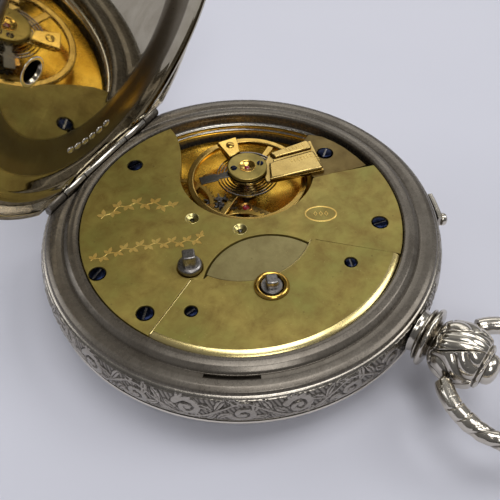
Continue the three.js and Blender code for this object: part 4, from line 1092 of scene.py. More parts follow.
def add_bow():
    points = np.array([a + (b - a) * k / 3 for a, b in zip(bow_path[:-1], bow_path[1:])
                       for k in range(3)] + [bow_path[-1]])
    count = len(points)
    angles = np.linspace(0, 2 * np.pi, BOW_SEGMENTS, endpoint=False)
    change = rope(run_length(points)[:, None], angles[None, :])
    tangent = np.gradient(points, axis=0)
    tangent /= np.linalg.norm(tangent, axis=1, keepdims=True)
    side = np.cross(np.array([0.0, 0.0, 1.0]), tangent)
    side /= np.linalg.norm(side, axis=1, keepdims=True)
    up = np.cross(tangent, side)
    spokes = (np.cos(angles)[None, :, None] * side[:, None, :]
              + np.sin(angles)[None, :, None] * up[:, None, :])
    verts = (points[:, None, :] + (BOW_RADIUS + change)[..., None] * spokes).reshape(-1, 3)
    verts = np.concatenate([verts, points[:1], points[-1:]])
    faces = grid(count, BOW_SEGMENTS, False, True)
    first, last, base = len(verts) - 2, len(verts) - 1, (count - 1) * BOW_SEGMENTS
    for j in range(BOW_SEGMENTS):
        after = (j + 1) % BOW_SEGMENTS
        faces.append([first, after, j])
        faces.append([last, base + j, base + after])
    tone = np.clip(1 + change * 4.0, 0, 1).reshape(-1)
    verts, faces = merge((verts, faces), bow_pin(1), bow_pin(-1))
    add("bow_ring", (verts, faces), "silver_bright", body="bow", to_part=pendant_to_part,
        replaces="bow", sharp=70, relief=np.concatenate([tone, np.ones(len(verts) - len(tone))]))


add_bow()


def stop_knob():
    verts, faces = turned([(0, -0.1), (0.8, -0.1), (0.9, 0.0), (0.92, 0.3), (0.8, 0.58),
                           (0.5, 0.78), (0.2, 0.86), (0, 0.88)], 48)
    x, y, z = verts.T
    return placed((np.stack([z + 28.6, y, x + 8.3], 1), faces), turn=3.2)


# curved strip on the band, with a knob
STOP_STRIP = [(27.98, 7.5), (28.55, 7.52), (28.72, 7.7), (28.72, 8.92), (28.55, 9.08),
              (27.98, 9.1)]
add("stop_slide_strip", merge(turned(rounded(STOP_STRIP, 0.1, 3), 40, 2.2, 12.2), stop_knob()),
    "silver_bright", body="stop_slide", replaces="stop_slide", relief=1)

# ------------------------------------------------------------------ dial
add("dial_plate", turned(rounded(
    [(1.4, 3.4), (21.4, 3.4), (21.6, 3.55), (21.6, 4.1), (1.4, 4.1)], 0.08, 3), 256),
    "white_enamel", "dial_enamel", replaces="dial")

# The print is drawn as the dial is seen from the front: x right, y up toward 12.
PRINT_LOW, PRINT_HIGH = 3.372, 3.4
NUMERALS = ["XII", "I", "II", "III", "IIII", "V", "VI", "VII", "VIII", "IX", "X", "XI"]
NUMERAL_BASE, NUMERAL_HEIGHT, NUMERAL_SCALE = 13.9, 4.0, 3.0
# strokes of each letter (from, to, width) and the room it takes
LETTERS = {"I": [((0, 0), (0, 1), 0.16)],
           "V": [((-0.28, 1), (0, 0), 0.17), ((0.28, 1), (0, 0), 0.07)],
           "X": [((-0.28, 1), (0.28, 0), 0.17), ((0.28, 1), (-0.28, 0), 0.07)]}
ROOM = {"I": 0.30, "V": 0.66, "X": 0.66}
prints = []


def print_line(start, stop, width, low=PRINT_LOW):
    start, stop = np.array(start, float), np.array(stop, float)
    ahead = (stop - start) / np.linalg.norm(stop - start)
    side = np.array([-ahead[1], ahead[0]]) * width / 2
    corners = [(TURN_COS * -x + TURN_SIN * y, -TURN_SIN * -x + TURN_COS * y)
               for x, y in (start + side, stop + side, stop - side, start - side)]
    verts = np.array([(x, y, z) for z in (low, PRINT_HIGH) for x, y in corners])
    faces = [[0, 1, 2, 3], [7, 6, 5, 4]]
    faces += [[i, (i + 1) % 4, 4 + (i + 1) % 4, 4 + i] for i in range(4)]
    prints.append((verts, faces))


def print_ring(inner, outer):
    prints.append(turned([(inner, PRINT_LOW), (outer, PRINT_LOW), (outer, PRINT_HIGH),
                          (inner, PRINT_HIGH)], 180))


def print_tick(angle, inner, outer, width):
    ahead = np.array([sin(radians(angle)), cos(radians(angle))])
    print_line(ahead * inner, ahead * outer, width)


def print_numeral(angle, letters):
    up = np.array([sin(angle), cos(angle)])
    right = np.array([cos(angle), -sin(angle)])
    total = sum(ROOM[c] for c in letters)
    x = -total / 2
    for letter in letters:
        cx = x + ROOM[letter] / 2
        for *ends, width in LETTERS[letter]:
            start, stop = (right * (cx + p[0]) * NUMERAL_SCALE * 0.9
                           + up * (NUMERAL_BASE + p[1] * NUMERAL_HEIGHT) for p in ends)
            print_line(start, stop, width * NUMERAL_SCALE * 0.85, low=3.374)
        x += ROOM[letter]
    # serif lines along the foot and the head
    for level in (0.0, 1.0):
        start, stop = (right * (half * NUMERAL_SCALE * 0.92)
                       + up * (NUMERAL_BASE + level * NUMERAL_HEIGHT)
                       for half in (-total / 2, total / 2))
        print_line(start, stop, 0.14, low=3.37)


print_ring(19.95, 20.05)
print_ring(18.75, 18.85)
for k in range(60):
    print_tick(6 * k, 18.8, 20.0, 0.26 if k % 5 == 0 else 0.10)
for k in range(240):
    if k % 4:
        print_tick(1.5 * k, 20.05, 20.45, 0.05)
for k, letters in enumerate(NUMERALS):
    print_numeral(radians(30 * k), letters)
add("dial_print", merge(*prints), "black_enamel", "dial_enamel", smooth=False)


def add_hand(name, outline, z0, z1, hub, bore, turn, body, replaces):
    """outline is [x, y] of half a blade that points along +x"""
    blade = slab(outline + [(x, -y) for x, y in outline[::-1] if y > 1e-6], z0, z1,
                 edge=0.045, steps=1, both=True)
    ring = turned(rounded(
        [(bore, z0 - 0.02), (hub - 0.1, z0 - 0.05), (hub, z0), (hub, z1), (hub - 0.1, z1 + 0.02),
         (bore, z1 + 0.01)], 0.04, 3), 64)
    add(name, placed(merge(blade, ring), turn=turn), "blued_hand", "blued_steel",
        body=body, replaces=replaces)


add_hand("hour_hand_blade",
         [(12.0, 0), (11.2, 0.10), (10.2, 0.55), (9.4, 1.15), (8.7, 1.38), (8.0, 1.2),
          (7.5, 0.7), (7.1, 0.42), (6.5, 0.36), (3.0, 0.5), (1.3, 0.75), (1.25, 0.0)],
         3.03, 3.19, hub=1.72, bore=1.2, turn=-92.5, body="hour_hand", replaces="hour_hand")
add_hand("minute_hand_blade",
         [(17.8, 0), (17.0, 0.07), (15.4, 0.42), (14.6, 0.80), (14.0, 0.92), (13.4, 0.78),
          (13.0, 0.42), (12.6, 0.28), (11, 0.26), (4, 0.42), (1.0, 0.6), (0.9, 0.0)],
         2.66, 2.79, hub=1.33, bore=0.86, turn=22.5, body="minute_hand",
         replaces="minute_hand")
add_hand("seconds_hand_blade",
         [(17.4, 0), (17.2, 0.05), (3, 0.13), (-3.0, 0.16), (-3.6, 0.42), (-4.3, 0.55),
          (-4.9, 0.40), (-5.0, 0.0)],
         2.35, 2.45, hub=0.78, bore=0.26, turn=172.5, body="sweep_seconds",
         replaces="seconds_hand")

# ------------------------------------------------------------------ plates
RIM_START, RIM_STOP = bearing(-11.24, -18.89), bearing(20.83, -7.02)    # ends of the bridge
LIP_Y = -1.3    # centre of the concave lip of the bridge

three_quarter = [
    *arc(0, 0, PLATE_RADIUS, bearing(-10.75, 19.15), bearing(-11.3, -18.85) + 360, 150),
    (-6.60, -10.5),
    *arc(*WIND, 8.86, 172.0, 54.5, 90),
    (10.2, -4.2),
    *arc(0, 0, PLATE_RADIUS, bearing(20.85, -6.95), bearing(19.55, 10.0), 60),
    (13.6, 8.6), (12.5, 8.25), (10.9, 7.8),
    *arc(0.9, 9.62, 9.86, -11.5, -178, 120),
    (-8.80, 9.9), (-8.82, 11.2), (-8.9, 12.8), (-9.1, 14.6), (-9.4, 16.0), (-9.8, 17.5)]
plate_holes = [circle(x, y, 1.17, 48) for x, y, _ in [*PLATE_SCREWS.values(), CASE_SCREW]]
plate_holes += [circle(*SETTING, 1.75, 48), circle(*CENTRE, 0.92, 40), circle(*THIRD, 0.92, 40)]
add("three_quarter_top", slab(three_quarter, PLATE_BOTTOM, PLATE_TOP, plate_holes, edge=0.07,
                              steps=3), "gilt_plate", "gilt_plate",
    replaces="three_quarter_plate")


def oil_sink(x, y, radius=0.92, bore=0.32):
    # [r, z below the plate top]
    cup = [(bore, -0.36), (0.5, -0.28), (0.76, -0.12), (radius - 0.06, -0.03),
           (radius + 0.02, 0.015), (radius + 0.10, 0.008), (radius + 0.10, -1.1), (bore, -1.1)]
    return placed(turned(rounded([(r, PLATE_TOP + z) for r, z in cup], 0.05, 3), 48), x, y)


add("oil_sinks", merge(oil_sink(*CENTRE), oil_sink(*THIRD)), "gilt_sink", "gilt_plate")

# bevelled rim of the bridge: [r - plate radius, z - plate top]
BRIDGE_BEVEL = [(-0.94, -0.006), (-0.86, -0.010), (-0.66, -0.05), (-0.44, -0.12),
                (-0.20, -0.22), (-0.04, -0.32), (0, -0.42)]
add("barrel_bridge_bevel", turned(
    [(PLATE_RADIUS + r, PLATE_TOP + z) for r, z in BRIDGE_BEVEL]
    + [(PLATE_RADIUS, PLATE_BOTTOM), (PLATE_RADIUS - 0.94, PLATE_BOTTOM)],
    200, RIM_START, RIM_STOP), "pale_gilt_bevel_and_highlight", "gilt_plate")
bridge = [
    *arc(0, 0, PLATE_RADIUS - 0.88, RIM_START, RIM_STOP, 150),
    (10.22, -4.29), (9.45, -4.25),
    *arc(0, LIP_Y, 9.75, -19.5, -116.5, 90),
    (-4.78, -10.52), (-6.52, -10.58)]
bridge_spots = [(x, y) for x, y, _ in BRIDGE_SCREWS.values()]
add("barrel_bridge_top", merge(
    slab(bridge, PLATE_BOTTOM, PLATE_TOP,
         [circle(*WIND, 2.28, 64)] + [circle(*spot, 0.9, 40) for spot in bridge_spots],
         edge=0.07, steps=3),
    *(placed(turned([(0, PILLAR_FOOT), (1.3, PILLAR_FOOT), (1.3, 9.92), (0, 9.92)], 32), *spot)
      for spot in bridge_spots)), "gilt_plate", "gilt_plate", replaces="barrel_bridge")

# barrel cover: the lens between its own round edge and the concave lip of the bridge
lens = [p for p in arc(*WIND, 8.60, 175, 52, 110) if hypot(p[0], p[1] - LIP_Y) < 9.62]
lip_start, lip_stop = (bearing(x, y - LIP_Y) for x, y in (lens[-1], lens[0]))
lens += arc(0, LIP_Y, 9.64, lip_start, lip_stop if lip_stop < lip_start else lip_stop - 360, 90)
add("barrel_cover_top", slab(lens, PLATE_BOTTOM + 0.1, PLATE_TOP - 0.10, edge=0.09, steps=3),
    "gilt_cover", "gilt_plate", replaces="barrel_cover")
# thin pale lines along the lip of the bridge and along its left joint: painted highlights that
# stand for glints on those edges
add("joint_highlight_lines", merge(
    ribbon(arc(0, LIP_Y, 9.80, -17.5, -62, 50), 0.20, PLATE_TOP - 0.03, PLATE_TOP + 0.010),
    ribbon([(-6.56, -10.72), (-8.84, -14.72), (-11.2, -18.75)], 0.24, PLATE_TOP - 0.03,
           PLATE_TOP + 0.012)), "pale_gilt_bevel_and_highlight", "gilt_plate", sharp=20)


def add_pillar_plate():
    disc = circle(0, 0, 21.5, 220)
    bores = [circle(0, 0, 0.62, 24), circle(*CENTRE, 0.62, 24), circle(*SETTING, 0.9, 24)]
    add("pillar_plate_disc", merge(
        slab(disc, 5.35, 6.8, [circle(*WIND, 8.8, 120), *bores], edge=0.1),
        slab(disc, 5.1, 5.34, [circle(*WIND, 0.62, 24), *bores]),
        turned([(0.3, 3.3), (0.5, 3.3), (0.5, 5.3), (0.68, 5.3), (0.68, 6.0), (0.3, 6.0)], 32)),
        "gilt_inner", "gilt_plate", replaces="pillar_plate")


add_pillar_plate()
PILLAR = [(0, PILLAR_FOOT), (1.3, PILLAR_FOOT), (1.35, 6.95), (1.3, 7.1), (1.0, 7.3),
          (0.9, 8.3), (1.0, 9.4), (1.3, 9.6), (1.35, 9.75), (1.3, 9.88), (0, 9.88)]
for letter, (x, y, _) in zip("abc", PLATE_SCREWS.values()):
    add("pillar_turned_" + letter, placed(turned(PILLAR, 48), x, y), "gilt_bright",
        "gilt_plate", replaces="pillar_" + letter)

slot_floors = []


def add_screw(name, spot, radius, top, head, bottom, shank):
    """slotted screw: z of its top, the underside of its head and its end"""
    profile = [(0, bottom), (shank, bottom), (shank, head), (radius - 0.05, head),
               (radius, head + 0.05), (radius, top - 0.16), (radius - 0.04, top - 0.07),
               (radius - 0.14, top - 0.01), (radius * 0.5, top + 0.02), (0, top + 0.03)]
    ob = add(name + "_head", placed(turned(profile, 64), *spot[:2]), "blued_steel",
             "blued_steel", replaces=name)
    half = radius - 0.16
    slot_floors.append(placed(box((-half, half), (-0.15, 0.15), (top - 0.30, top - 0.155)),
                              *spot))
    cut(ob, placed(box((-3, 3), (-0.16, 0.16), (top - 0.17, top + 1)), *spot))


for name, spot in PLATE_SCREWS.items():
    add_screw(name, spot, radius=1.06, top=11.22, head=10.5, bottom=9.95, shank=0.5)
add_screw("case_screw", CASE_SCREW, radius=1.06, top=11.24, head=10.6, bottom=9.95, shank=0.5)
for name, spot in BRIDGE_SCREWS.items():
    add_screw(name, spot, radius=0.80, top=11.20, head=10.55, bottom=10.0, shank=0.4)

# ------------------------------------------------------------------ plate ornament
ornament = []


def add_vine(controls, leaves, size):
    """running leaf scroll engraved along a curve"""
    path = spline(controls, 40)
    run = run_length(path)

    def point_at(u):
        return np.array([np.interp(u, run, path[:, 0]), np.interp(u, run, path[:, 1])])

    def frame_at(u):
        ahead = point_at(u + 0.05) - point_at(u - 0.05)
        ahead = ahead / np.linalg.norm(ahead)
        return point_at(u), ahead, np.array([-ahead[1], ahead[0]])

    stem = []
    for u in np.linspace(0.06, run[-1] - 0.06, leaves * 12):
        p, _, side = frame_at(u)
        stem.append(tuple(p + side * 0.13 * size * sin(pi * leaves * u / run[-1])))
    ornament.append(ribbon(stem, 0.12 * size))
    steps = 8
    for k in range(leaves):
        p, ahead, side = frame_at((k + 0.5) / leaves * run[-1])
        hand = 1 if k % 2 == 0 else -1
        for lean, length in ((0.75, 0.86), (-0.55, 0.66)):
            root = p + side * hand * 0.06 * size
            axis = (ahead * lean + side * hand) / hypot(lean, 1)
            across = np.array([-axis[1], axis[0]])
            spine = [root + axis * length * size * i / steps for i in range(steps + 1)]
            bulge = [across * 0.19 * size * sin(pi * i / steps) for i in range(steps + 1)]
            outline = [tuple(spine[i] + bulge[i]) for i in range(steps + 1)]
            outline += [tuple(spine[i] - bulge[i]) for i in range(steps - 1, 0, -1)]
            ornament.append(slab(outline, PLATE_TOP - 0.02, PLATE_TOP + 0.028))


add_vine([(-19.4, 0.3), (-17.25, 2.38), (-14.93, 3.09), (-12.1, 3.01), (-9.3, 2.25)],
         leaves=9, size=1.6)
add_vine([(-19.9, -7.2), (-16.79, -5.7), (-13.55, -4.74), (-10.23, -4.3), (-6.88, -4.04),
          (-4.9, -3.15)], leaves=15, size=1.35)
# oval with three lozenges
OVAL_X, OVAL_Y = 11.1, 0.5
ornament.append(ribbon([(OVAL_X + 2.15 * cos(t), OVAL_Y + 1.38 * sin(t))
                        for t in np.linspace(0, 2 * np.pi, 64, endpoint=False)],
                       0.24, closed=True))
for q in (-0.75, 0.0, 0.75):
    ornament.append(ribbon([(OVAL_X + q - 0.22, OVAL_Y), (OVAL_X + q, 0.9),
                            (OVAL_X + q + 0.22, OVAL_Y), (OVAL_X + q, 0.1)], 0.17, closed=True))
add("plate_ornament", merge(*ornament), "gilt_engraving", "polished_brass", sharp=20)

# ------------------------------------------------------------------ winding and setting arbors
add("winding_ring", placed(turned(rounded(
    [(1.5, 10.9), (2.26, 10.9), (2.26, 11.2), (2.3, 11.32), (2.15, 11.52), (1.95, 11.62),
     (1.75, 11.56), (1.55, 11.34), (1.5, 11.2)], 0.08, 4), 96), *WIND),
    "polished_gold", "polished_brass", replaces="winding_bush")


def key_square(width, z0, z1):
    h, c = width / 2, 0.12 * width
    return slab([(h, -h + c), (h, h - c), (h - c, h), (-h + c, h), (-h, h - c), (-h, -h + c),
                 (-h + c, -h), (h - c, -h)], z0, z1, edge=0.16, steps=3)


add("winding_square", merge(
    placed(turned([(0, 5.2), (0.5, 5.2), (0.5, 6.0), (1.0, 6.02), (1.0, 7.75), (0.8, 7.8),
                   (0.8, 10.9), (1.34, 10.95), (1.40, 11.02), (1.42, 11.36), (1.34, 11.44),
                   (0, 11.48)], 64), *WIND),
    placed(key_square(1.5, 11.3, 12.75), *WIND, 6)),
    "dark_steel", "grey_steel", body="winding_arbor", replaces="winding_arbor")

# ------------------------------------------------------------------ wheels
# one tooth: (height, share of the pitch); heights are named in gear_outline
TOOTH = [("root", -0.34), ("low", -0.24), ("mid", -0.16), ("high", -0.07), ("tip", 0.0),
         ("high", 0.07), ("mid", 0.16), ("low", 0.24), ("root", 0.34)]


def gear_outline(teeth, pitch, phase, tip, root):
    """pitch is the pitch radius; tip and root are heights in modules"""
    module = 2 * pitch / teeth
    outer, inner = pitch + tip * module, pitch - root * module
    radii = {"root": inner, "low": inner + 0.35 * (outer - inner),
             "mid": pitch + 0.2 * (outer - pitch), "high": outer - 0.12 * (outer - pitch),
             "tip": outer}
    step = 2 * pi / teeth
    return [(radii[level] * cos(2 * pi * i / teeth + phase + share * step),
             radii[level] * sin(2 * pi * i / teeth + phase + share * step))
            for i in range(teeth) for level, share in TOOTH]


def wheel(teeth, pitch, phase, z0, z1, bore=0, spokes=0, rim=0.9, hub=1.2, spoke=0.7,
          tip=0.55, root=0.75):
    holes = [circle(0, 0, bore, 24)] if bore else []
    inside = pitch - rim
    rim_gap = degrees(asin(spoke / 2 / inside)) * 1.6 if spokes else 0
    hub_gap = degrees(asin(spoke / 2 / hub)) * 1.2
    for s in range(spokes):
        middle, half = 360 * s / spokes + 10, 180 / spokes
        holes.append(
            arc(0, 0, inside, middle - half + rim_gap, middle + half - rim_gap, 14)
            + arc(0, 0, hub, middle + half - hub_gap, middle - half + hub_gap, 5))
    return slab(gear_outline(teeth, pitch, phase, tip, root), z0, z1, holes, edge=0.03, steps=1,
                both=True)


def distance(a, b):
    return hypot(a[0] - b[0], a[1] - b[1])


def heading(a, b):
    return atan2(b[1] - a[1], b[0] - a[0])


def pitches(a, b, teeth, leaves):
    """pitch radii of a wheel and the pinion it drives"""
    total = teeth + leaves
    return distance(a, b) * teeth / total, distance(a, b) * leaves / total


def meshed(driver, driven, phase, teeth, driven_teeth):
    """phase of a wheel whose gaps take the teeth of a driver already set"""
    step = 2 * pi / teeth
    offset = (heading(driver, driven) - phase) % step
    return (heading(driven, driver) + pi / driven_teeth
            + offset / step * 2 * pi / driven_teeth)


def facing(here, driver, teeth):
    """phase that turns a gap toward the driver"""
    return heading(here, driver) + pi / teeth


CENTRE_PITCH, THIRD_PINION = pitches(CENTRE, THIRD, 48, 6)
THIRD_PITCH, SWEEP_PINION = pitches(THIRD, SWEEP, 45, 6)
FOURTH_PINION = distance(THIRD, FOURTH) - THIRD_PITCH
FOURTH_PITCH, ESCAPE_PINION = pitches(FOURTH, ESCAPE, 48, 6)
CENTRE_PINION = pitches(WIND, CENTRE, 48, 8)[1]
third_phase = heading(THIRD, SWEEP)
minute_phase = heading(MINUTE, SWEEP)
MOTION = {"tip": 0.45, "root": 0.65}    # tooth heights of the wheels under the dial
MINUTE_Z = 4.84, 5.02                   # where the centre arbor meets the minute wheel

SETTING_ARBOR = [(0, 4.3), (0.6, 4.3), (0.6, 11.2), (1.55, 11.2), (1.62, 11.3), (1.62, 11.85),
                 (1.5, 12.0), (1.3, 12.1), (0.9, 12.12), (0, 12.14)]
add("setting_square", placed(merge(
    turned(rounded(SETTING_ARBOR, 0.05, 3, closed=False), 72),
    placed(key_square(1.66, 11.9, 14.0), turn=9),
    wheel(35, 4.83, meshed(MINUTE, SETTING, minute_phase, 24, 35), 4.52, 4.72,
          tip=0.4, root=0.7)), *SETTING),
    "dark_steel", "grey_steel", body="setting_arbor", replaces="setting_arbor")
add("plate_recess_ring", placed(turned(rounded(
    [(0.85, 10.9), (1.78, 10.9), (1.78, 11.18), (1.70, 11.16), (1.62, 11.08), (0.85, 11.08)],
    0.03, 2), 72), *SETTING), "gilt_bright", "gilt_plate")
add("ratchet", placed(wheel(24, 3.3, 0.0, 8.9, 9.25, 0.85, tip=0.7, root=0.9), *WIND),
    "grey_steel", "grey_steel", body="winding_arbor", replaces="ratchet_wheel")


def add_wheel(name, part, spot, body, replaces):
    add(name, placed(part, *spot), "gilt_bright", "polished_brass", body=body,
        replaces=replaces)


def add_pinion(name, arbor, segments, spot, body, replaces, *gears):
    """an arbor turned from its [r, z] profile, with its toothed parts"""
    add(name, placed(merge(turned(arbor, segments), *gears), *spot), "grey_steel", "grey_steel",
        body=body, replaces=replaces)


add_wheel("centre_wheel_rim",
          wheel(48, CENTRE_PITCH, heading(CENTRE, THIRD), 8.35, 8.6, 0.5, 4, rim=0.8, hub=1.3),
          CENTRE, "centre_wheel", "centre_wheel")
add_pinion("centre_pinion_leaves",
           [(0, 4.84), (0.45, 4.84), (0.45, 9.6), (0.24, 9.75), (0.24, 10.85), (0.18, 10.9),
            (0, 10.9)], 32, CENTRE, "centre_wheel", "centre_pinion",
           wheel(8, CENTRE_PINION, facing(CENTRE, WIND, 8), 7.1, 7.6, tip=0.35, root=0.55),
           wheel(8, 1.1, meshed(MINUTE, CENTRE, minute_phase, 24, 8), *MINUTE_Z, **MOTION))
add_wheel("third_wheel_rim",
          wheel(45, THIRD_PITCH, third_phase, 7.75, 8.0, 0.3, 4, rim=0.75, hub=1.1, spoke=0.6),
          THIRD, "third_wheel", "third_wheel")
add_pinion("third_pinion_leaves",
           [(0, 6.85), (0.2, 6.85), (0.25, 7.0), (0.25, 10.5), (0.2, 10.6), (0, 10.6)], 24,
           THIRD, "third_wheel", "third_pinion",
           wheel(6, THIRD_PINION, facing(THIRD, CENTRE, 6), 8.25, 8.7))
add_pinion("seconds_arbor", [(0, 2.3), (0.2, 2.32), (0.2, 8.15), (0.1, 8.2), (0, 8.2)], 24,
           SWEEP, "sweep_seconds", "seconds_pinion",
           wheel(6, SWEEP_PINION, facing(SWEEP, THIRD, 6), 7.66, 8.1))
add_wheel("fourth_wheel_rim",
          wheel(48, FOURTH_PITCH, heading(FOURTH, ESCAPE), 7.35, 7.55, 0.26, 4, rim=0.75,
                hub=1.0, spoke=0.6), FOURTH, "fourth_wheel", "fourth_wheel")
add_pinion("fourth_pinion_leaves",
           [(0, 6.85), (0.18, 6.85), (0.22, 7.0), (0.22, 10.4), (0.15, 10.5), (0, 10.5)], 24,
           FOURTH, "fourth_wheel", "fourth_pinion",
           wheel(6, FOURTH_PINION, meshed(THIRD, FOURTH, third_phase, 45, 6), 7.65, 8.1))

# escape wheel: radius and angle in degrees of the points of one tooth
ESCAPE_TEETH = 15
ESCAPE_TOOTH = [(2.15, -8), (2.35, -5.6), (2.6, -3.4), (2.88, -1.4), (2.9, -0.6), (2.9, 2.0),
                (2.7, 1.9), (2.3, 1.5), (2.12, 2.2)]
escape_outline = [(r * cos(radians(360 * i / ESCAPE_TEETH + a)),
                   r * sin(radians(360 * i / ESCAPE_TEETH + a)))
                  for i in range(ESCAPE_TEETH) for r, a in ESCAPE_TOOTH]
escape_holes = [circle(0, 0, 0.26, 20)] + [
    arc(0, 0, 1.75, a + 12, a + 78, 10) + arc(0, 0, 0.75, a + 62, a + 28, 4)
    for a in (0, 90, 180, 270)]
add("escape_wheel_teeth",
    placed(slab(escape_outline, 6.95, 7.15, escape_holes, edge=0.02, steps=1), *ESCAPE),
    "grey_steel", "polished_brass", body="escape_wheel", replaces="escape_wheel")
add_pinion("escape_pinion_leaves",
           [(0, 6.85), (0.2, 6.87), (0.2, 8.5), (0.1, 8.55), (0, 8.55)], 24, ESCAPE,
           "escape_wheel", "escape_pinion",
           wheel(6, ESCAPE_PINION, facing(ESCAPE, FOURTH, 6), 7.25, 7.66))
add_wheel("barrel_drum", merge(
    turned(rounded([(0.62, 5.62), (8.3, 5.62), (8.4, 5.72), (8.4, 7.78), (7.92, 7.78),
                    (7.9, 5.95), (0.62, 5.95)], 0.06, 2), 160),
    slab(gear_outline(48, 9.09, heading(WIND, CENTRE), 0.35, 0.55), 7.2, 7.6,
         [circle(0, 0, 8.3, 120)], edge=0.03, steps=1)), WIND, "barrel", "barrel")
add_wheel("barrel_cap", turned(rounded([(1.05, 7.82), (8.35, 7.82), (8.35, 8.05), (1.05, 8.05)],
                                       0.05, 2), 120), WIND, "barrel", "barrel_lid")
add_wheel("minute_wheel_set", merge(wheel(24, 3.3, minute_phase, 4.5, 5.02, **MOTION),
                                    wheel(8, 0.88, minute_phase, 4.22, 4.55, **MOTION)),
          MINUTE, "minute_wheel", "minute_wheel")
add_pinion("cannon_pinion_set", [(0.57, 2.62), (0.8, 2.62), (0.8, 5.02), (0.57, 5.02)], 40,
           SWEEP, "minute_hand", "cannon_pinion",
           wheel(8, 1.1, facing(SWEEP, MINUTE, 8), 4.5, 4.72, 0.6, **MOTION))
add_wheel("hour_wheel_set", merge(
    wheel(32, 3.52, facing(SWEEP, MINUTE, 32), 4.22, 4.42, 0.9, **MOTION),
    turned([(0.86, 3.0), (1.12, 3.0), (1.12, 4.4), (0.86, 4.4)], 40)),
    SWEEP, "hour_hand", "hour_wheel")

# ------------------------------------------------------------------ balance, spring, lever
BALANCE_ARM = [(8.3, -0.5), (8.3, 0.5), (4.5, 0.42), (1.25, 0.75), (-1.25, 0.75),
               (-4.5, 0.42), (-8.3, 0.5), (-8.3, -0.5), (-4.5, -0.42), (-1.25, -0.75),
               (1.25, -0.75), (4.5, -0.42)]
add("balance_rim", placed(merge(
    turned(rounded([(7.98, 8.86), (8.96, 8.86), (8.96, 9.66), (7.98, 9.66)], 0.2, 5), 240),
    slab(BALANCE_ARM, 9.02, 9.44, edge=0.09, both=True),
    turned(rounded([(0.42, 8.95), (1.15, 8.95), (1.2, 9.0), (1.2, 9.48), (1.1, 9.55),
                    (0.42, 9.55)], 0.05, 2), 48)), *BALANCE, 62),
    "balance_gold", "polished_brass", body="balance", replaces="balance_wheel")
BALANCE_STAFF = [(0, 6.85), (0.1, 6.86), (0.12, 7.0), (0.3, 7.2), (0.3, 7.42), (1.40, 7.45),
                 (1.45, 7.5), (1.45, 7.67), (1.40, 7.72), (0.38, 7.76), (0.38, 9.95),
                 (0.72, 10.0), (0.75, 10.05), (0.75, 10.36), (0.7, 10.4), (0.3, 10.45),
                 (0.12, 10.8), (0.12, 11.3), (0, 11.35)]
lever_heading = heading(BALANCE, LEVER)
add("balance_arbor", merge(
    placed(turned(BALANCE_STAFF, 48), *BALANCE),
    # roller pin, 1 mm off the staff toward the lever
    placed(turned([(0, 7.22), (0.13, 7.22), (0.15, 7.25), (0.15, 7.5), (0, 7.5)], 20),
           BALANCE[0] + cos(lever_heading), BALANCE[1] + sin(lever_heading))),
    "grey_steel", "grey_steel", body="balance", replaces="balance_staff")


def hairspring(turns=8.0, stations=900, half_width=0.055, z0=10.08, z1=10.38):
    along = np.linspace(0, 1, stations)
    angle = radians(125) - (1 - along) * 2 * pi * turns
    radius = 0.95 + 3.85 * along ** 0.94
    outer, inner = radius + half_width, radius - half_width
    verts = np.stack([np.stack([r * np.cos(angle), r * np.sin(angle), np.full(stations, z)], 1)
                      for r, z in ((outer, z0), (outer, z1), (inner, z1), (inner, z0))], 1)
    return verts.reshape(-1, 3), sweep_faces(stations, 4)


steel("hairspring_steel", (0.20, 0.20, 0.24, 1), (0.30, 0.27, 0.22, 1), rough=(0.12, 0.22))
add("hairspring_coil", placed(hairspring(), *BALANCE), "hairspring_steel", "blued_steel",
    replaces="hairspring")

# pallet cock: a bar from the lever pivot to its foot
foot_x, foot_y = 4.8 - LEVER[0], 2.4 - LEVER[1]
reach = hypot(foot_x, foot_y)
PALLET_COCK = [(-0.2, -1.25), (reach, -1.2), (reach + 1.1, -0.6), (reach + 1.1, 0.6),
               (reach, 1.2), (-0.2, 1.25), (-1.0, 0.8), (-1.3, 0), (-1.0, -0.8)]
JEWEL_RISE = 0.35
add("pallet_cock_bar", placed(merge(
    slab(PALLET_COCK, 7.48, 7.80, edge=0.1, steps=3),
    placed(turned([(0, 6.82), (1.1, 6.82), (1.1, 7.6), (0, 7.6)], 40), reach)),
    *LEVER, bearing(foot_x, foot_y)), "gilt_cock", "gilt_plate", replaces="pallet_cock")
add("pallet_jewel_setting", placed(turned(rounded(
    [(0.46, 7.7), (1.0, 7.7)] + [(r, z + JEWEL_RISE) for r, z in (
        (1.08, 7.84), (0.92, 7.97), (0.68, 7.95), (0.54, 7.84), (0.46, 7.8))], 0.06, 3), 56),
    *LEVER), "bronze_gold", "polished_brass")
add("pallet_jewel", placed(turned(
    [(0, 7.72), (0.5, 7.72)] + [(r, z + JEWEL_RISE) for r, z in (
        (0.5, 7.80), (0.42, 7.90), (0.22, 7.93), (0.1, 7.86), (0, 7.84))], 40), *LEVER),
    "ruby", "polished_brass")

# ------------------------------------------------------------------ cock, index, stud, end cap
COCK_FOOT = [(9.75, 16.17), (10.6, 17.7), (12.66, 17.15), (14.4, 15.9), (15.94, 14.4),
             (17.5, 12.4), (18.7, 10.5), (16.5, 9.75), (13.8, 9.05), (12.5, 8.65),
             (10.9, 8.25), (10.45, 8.3)]
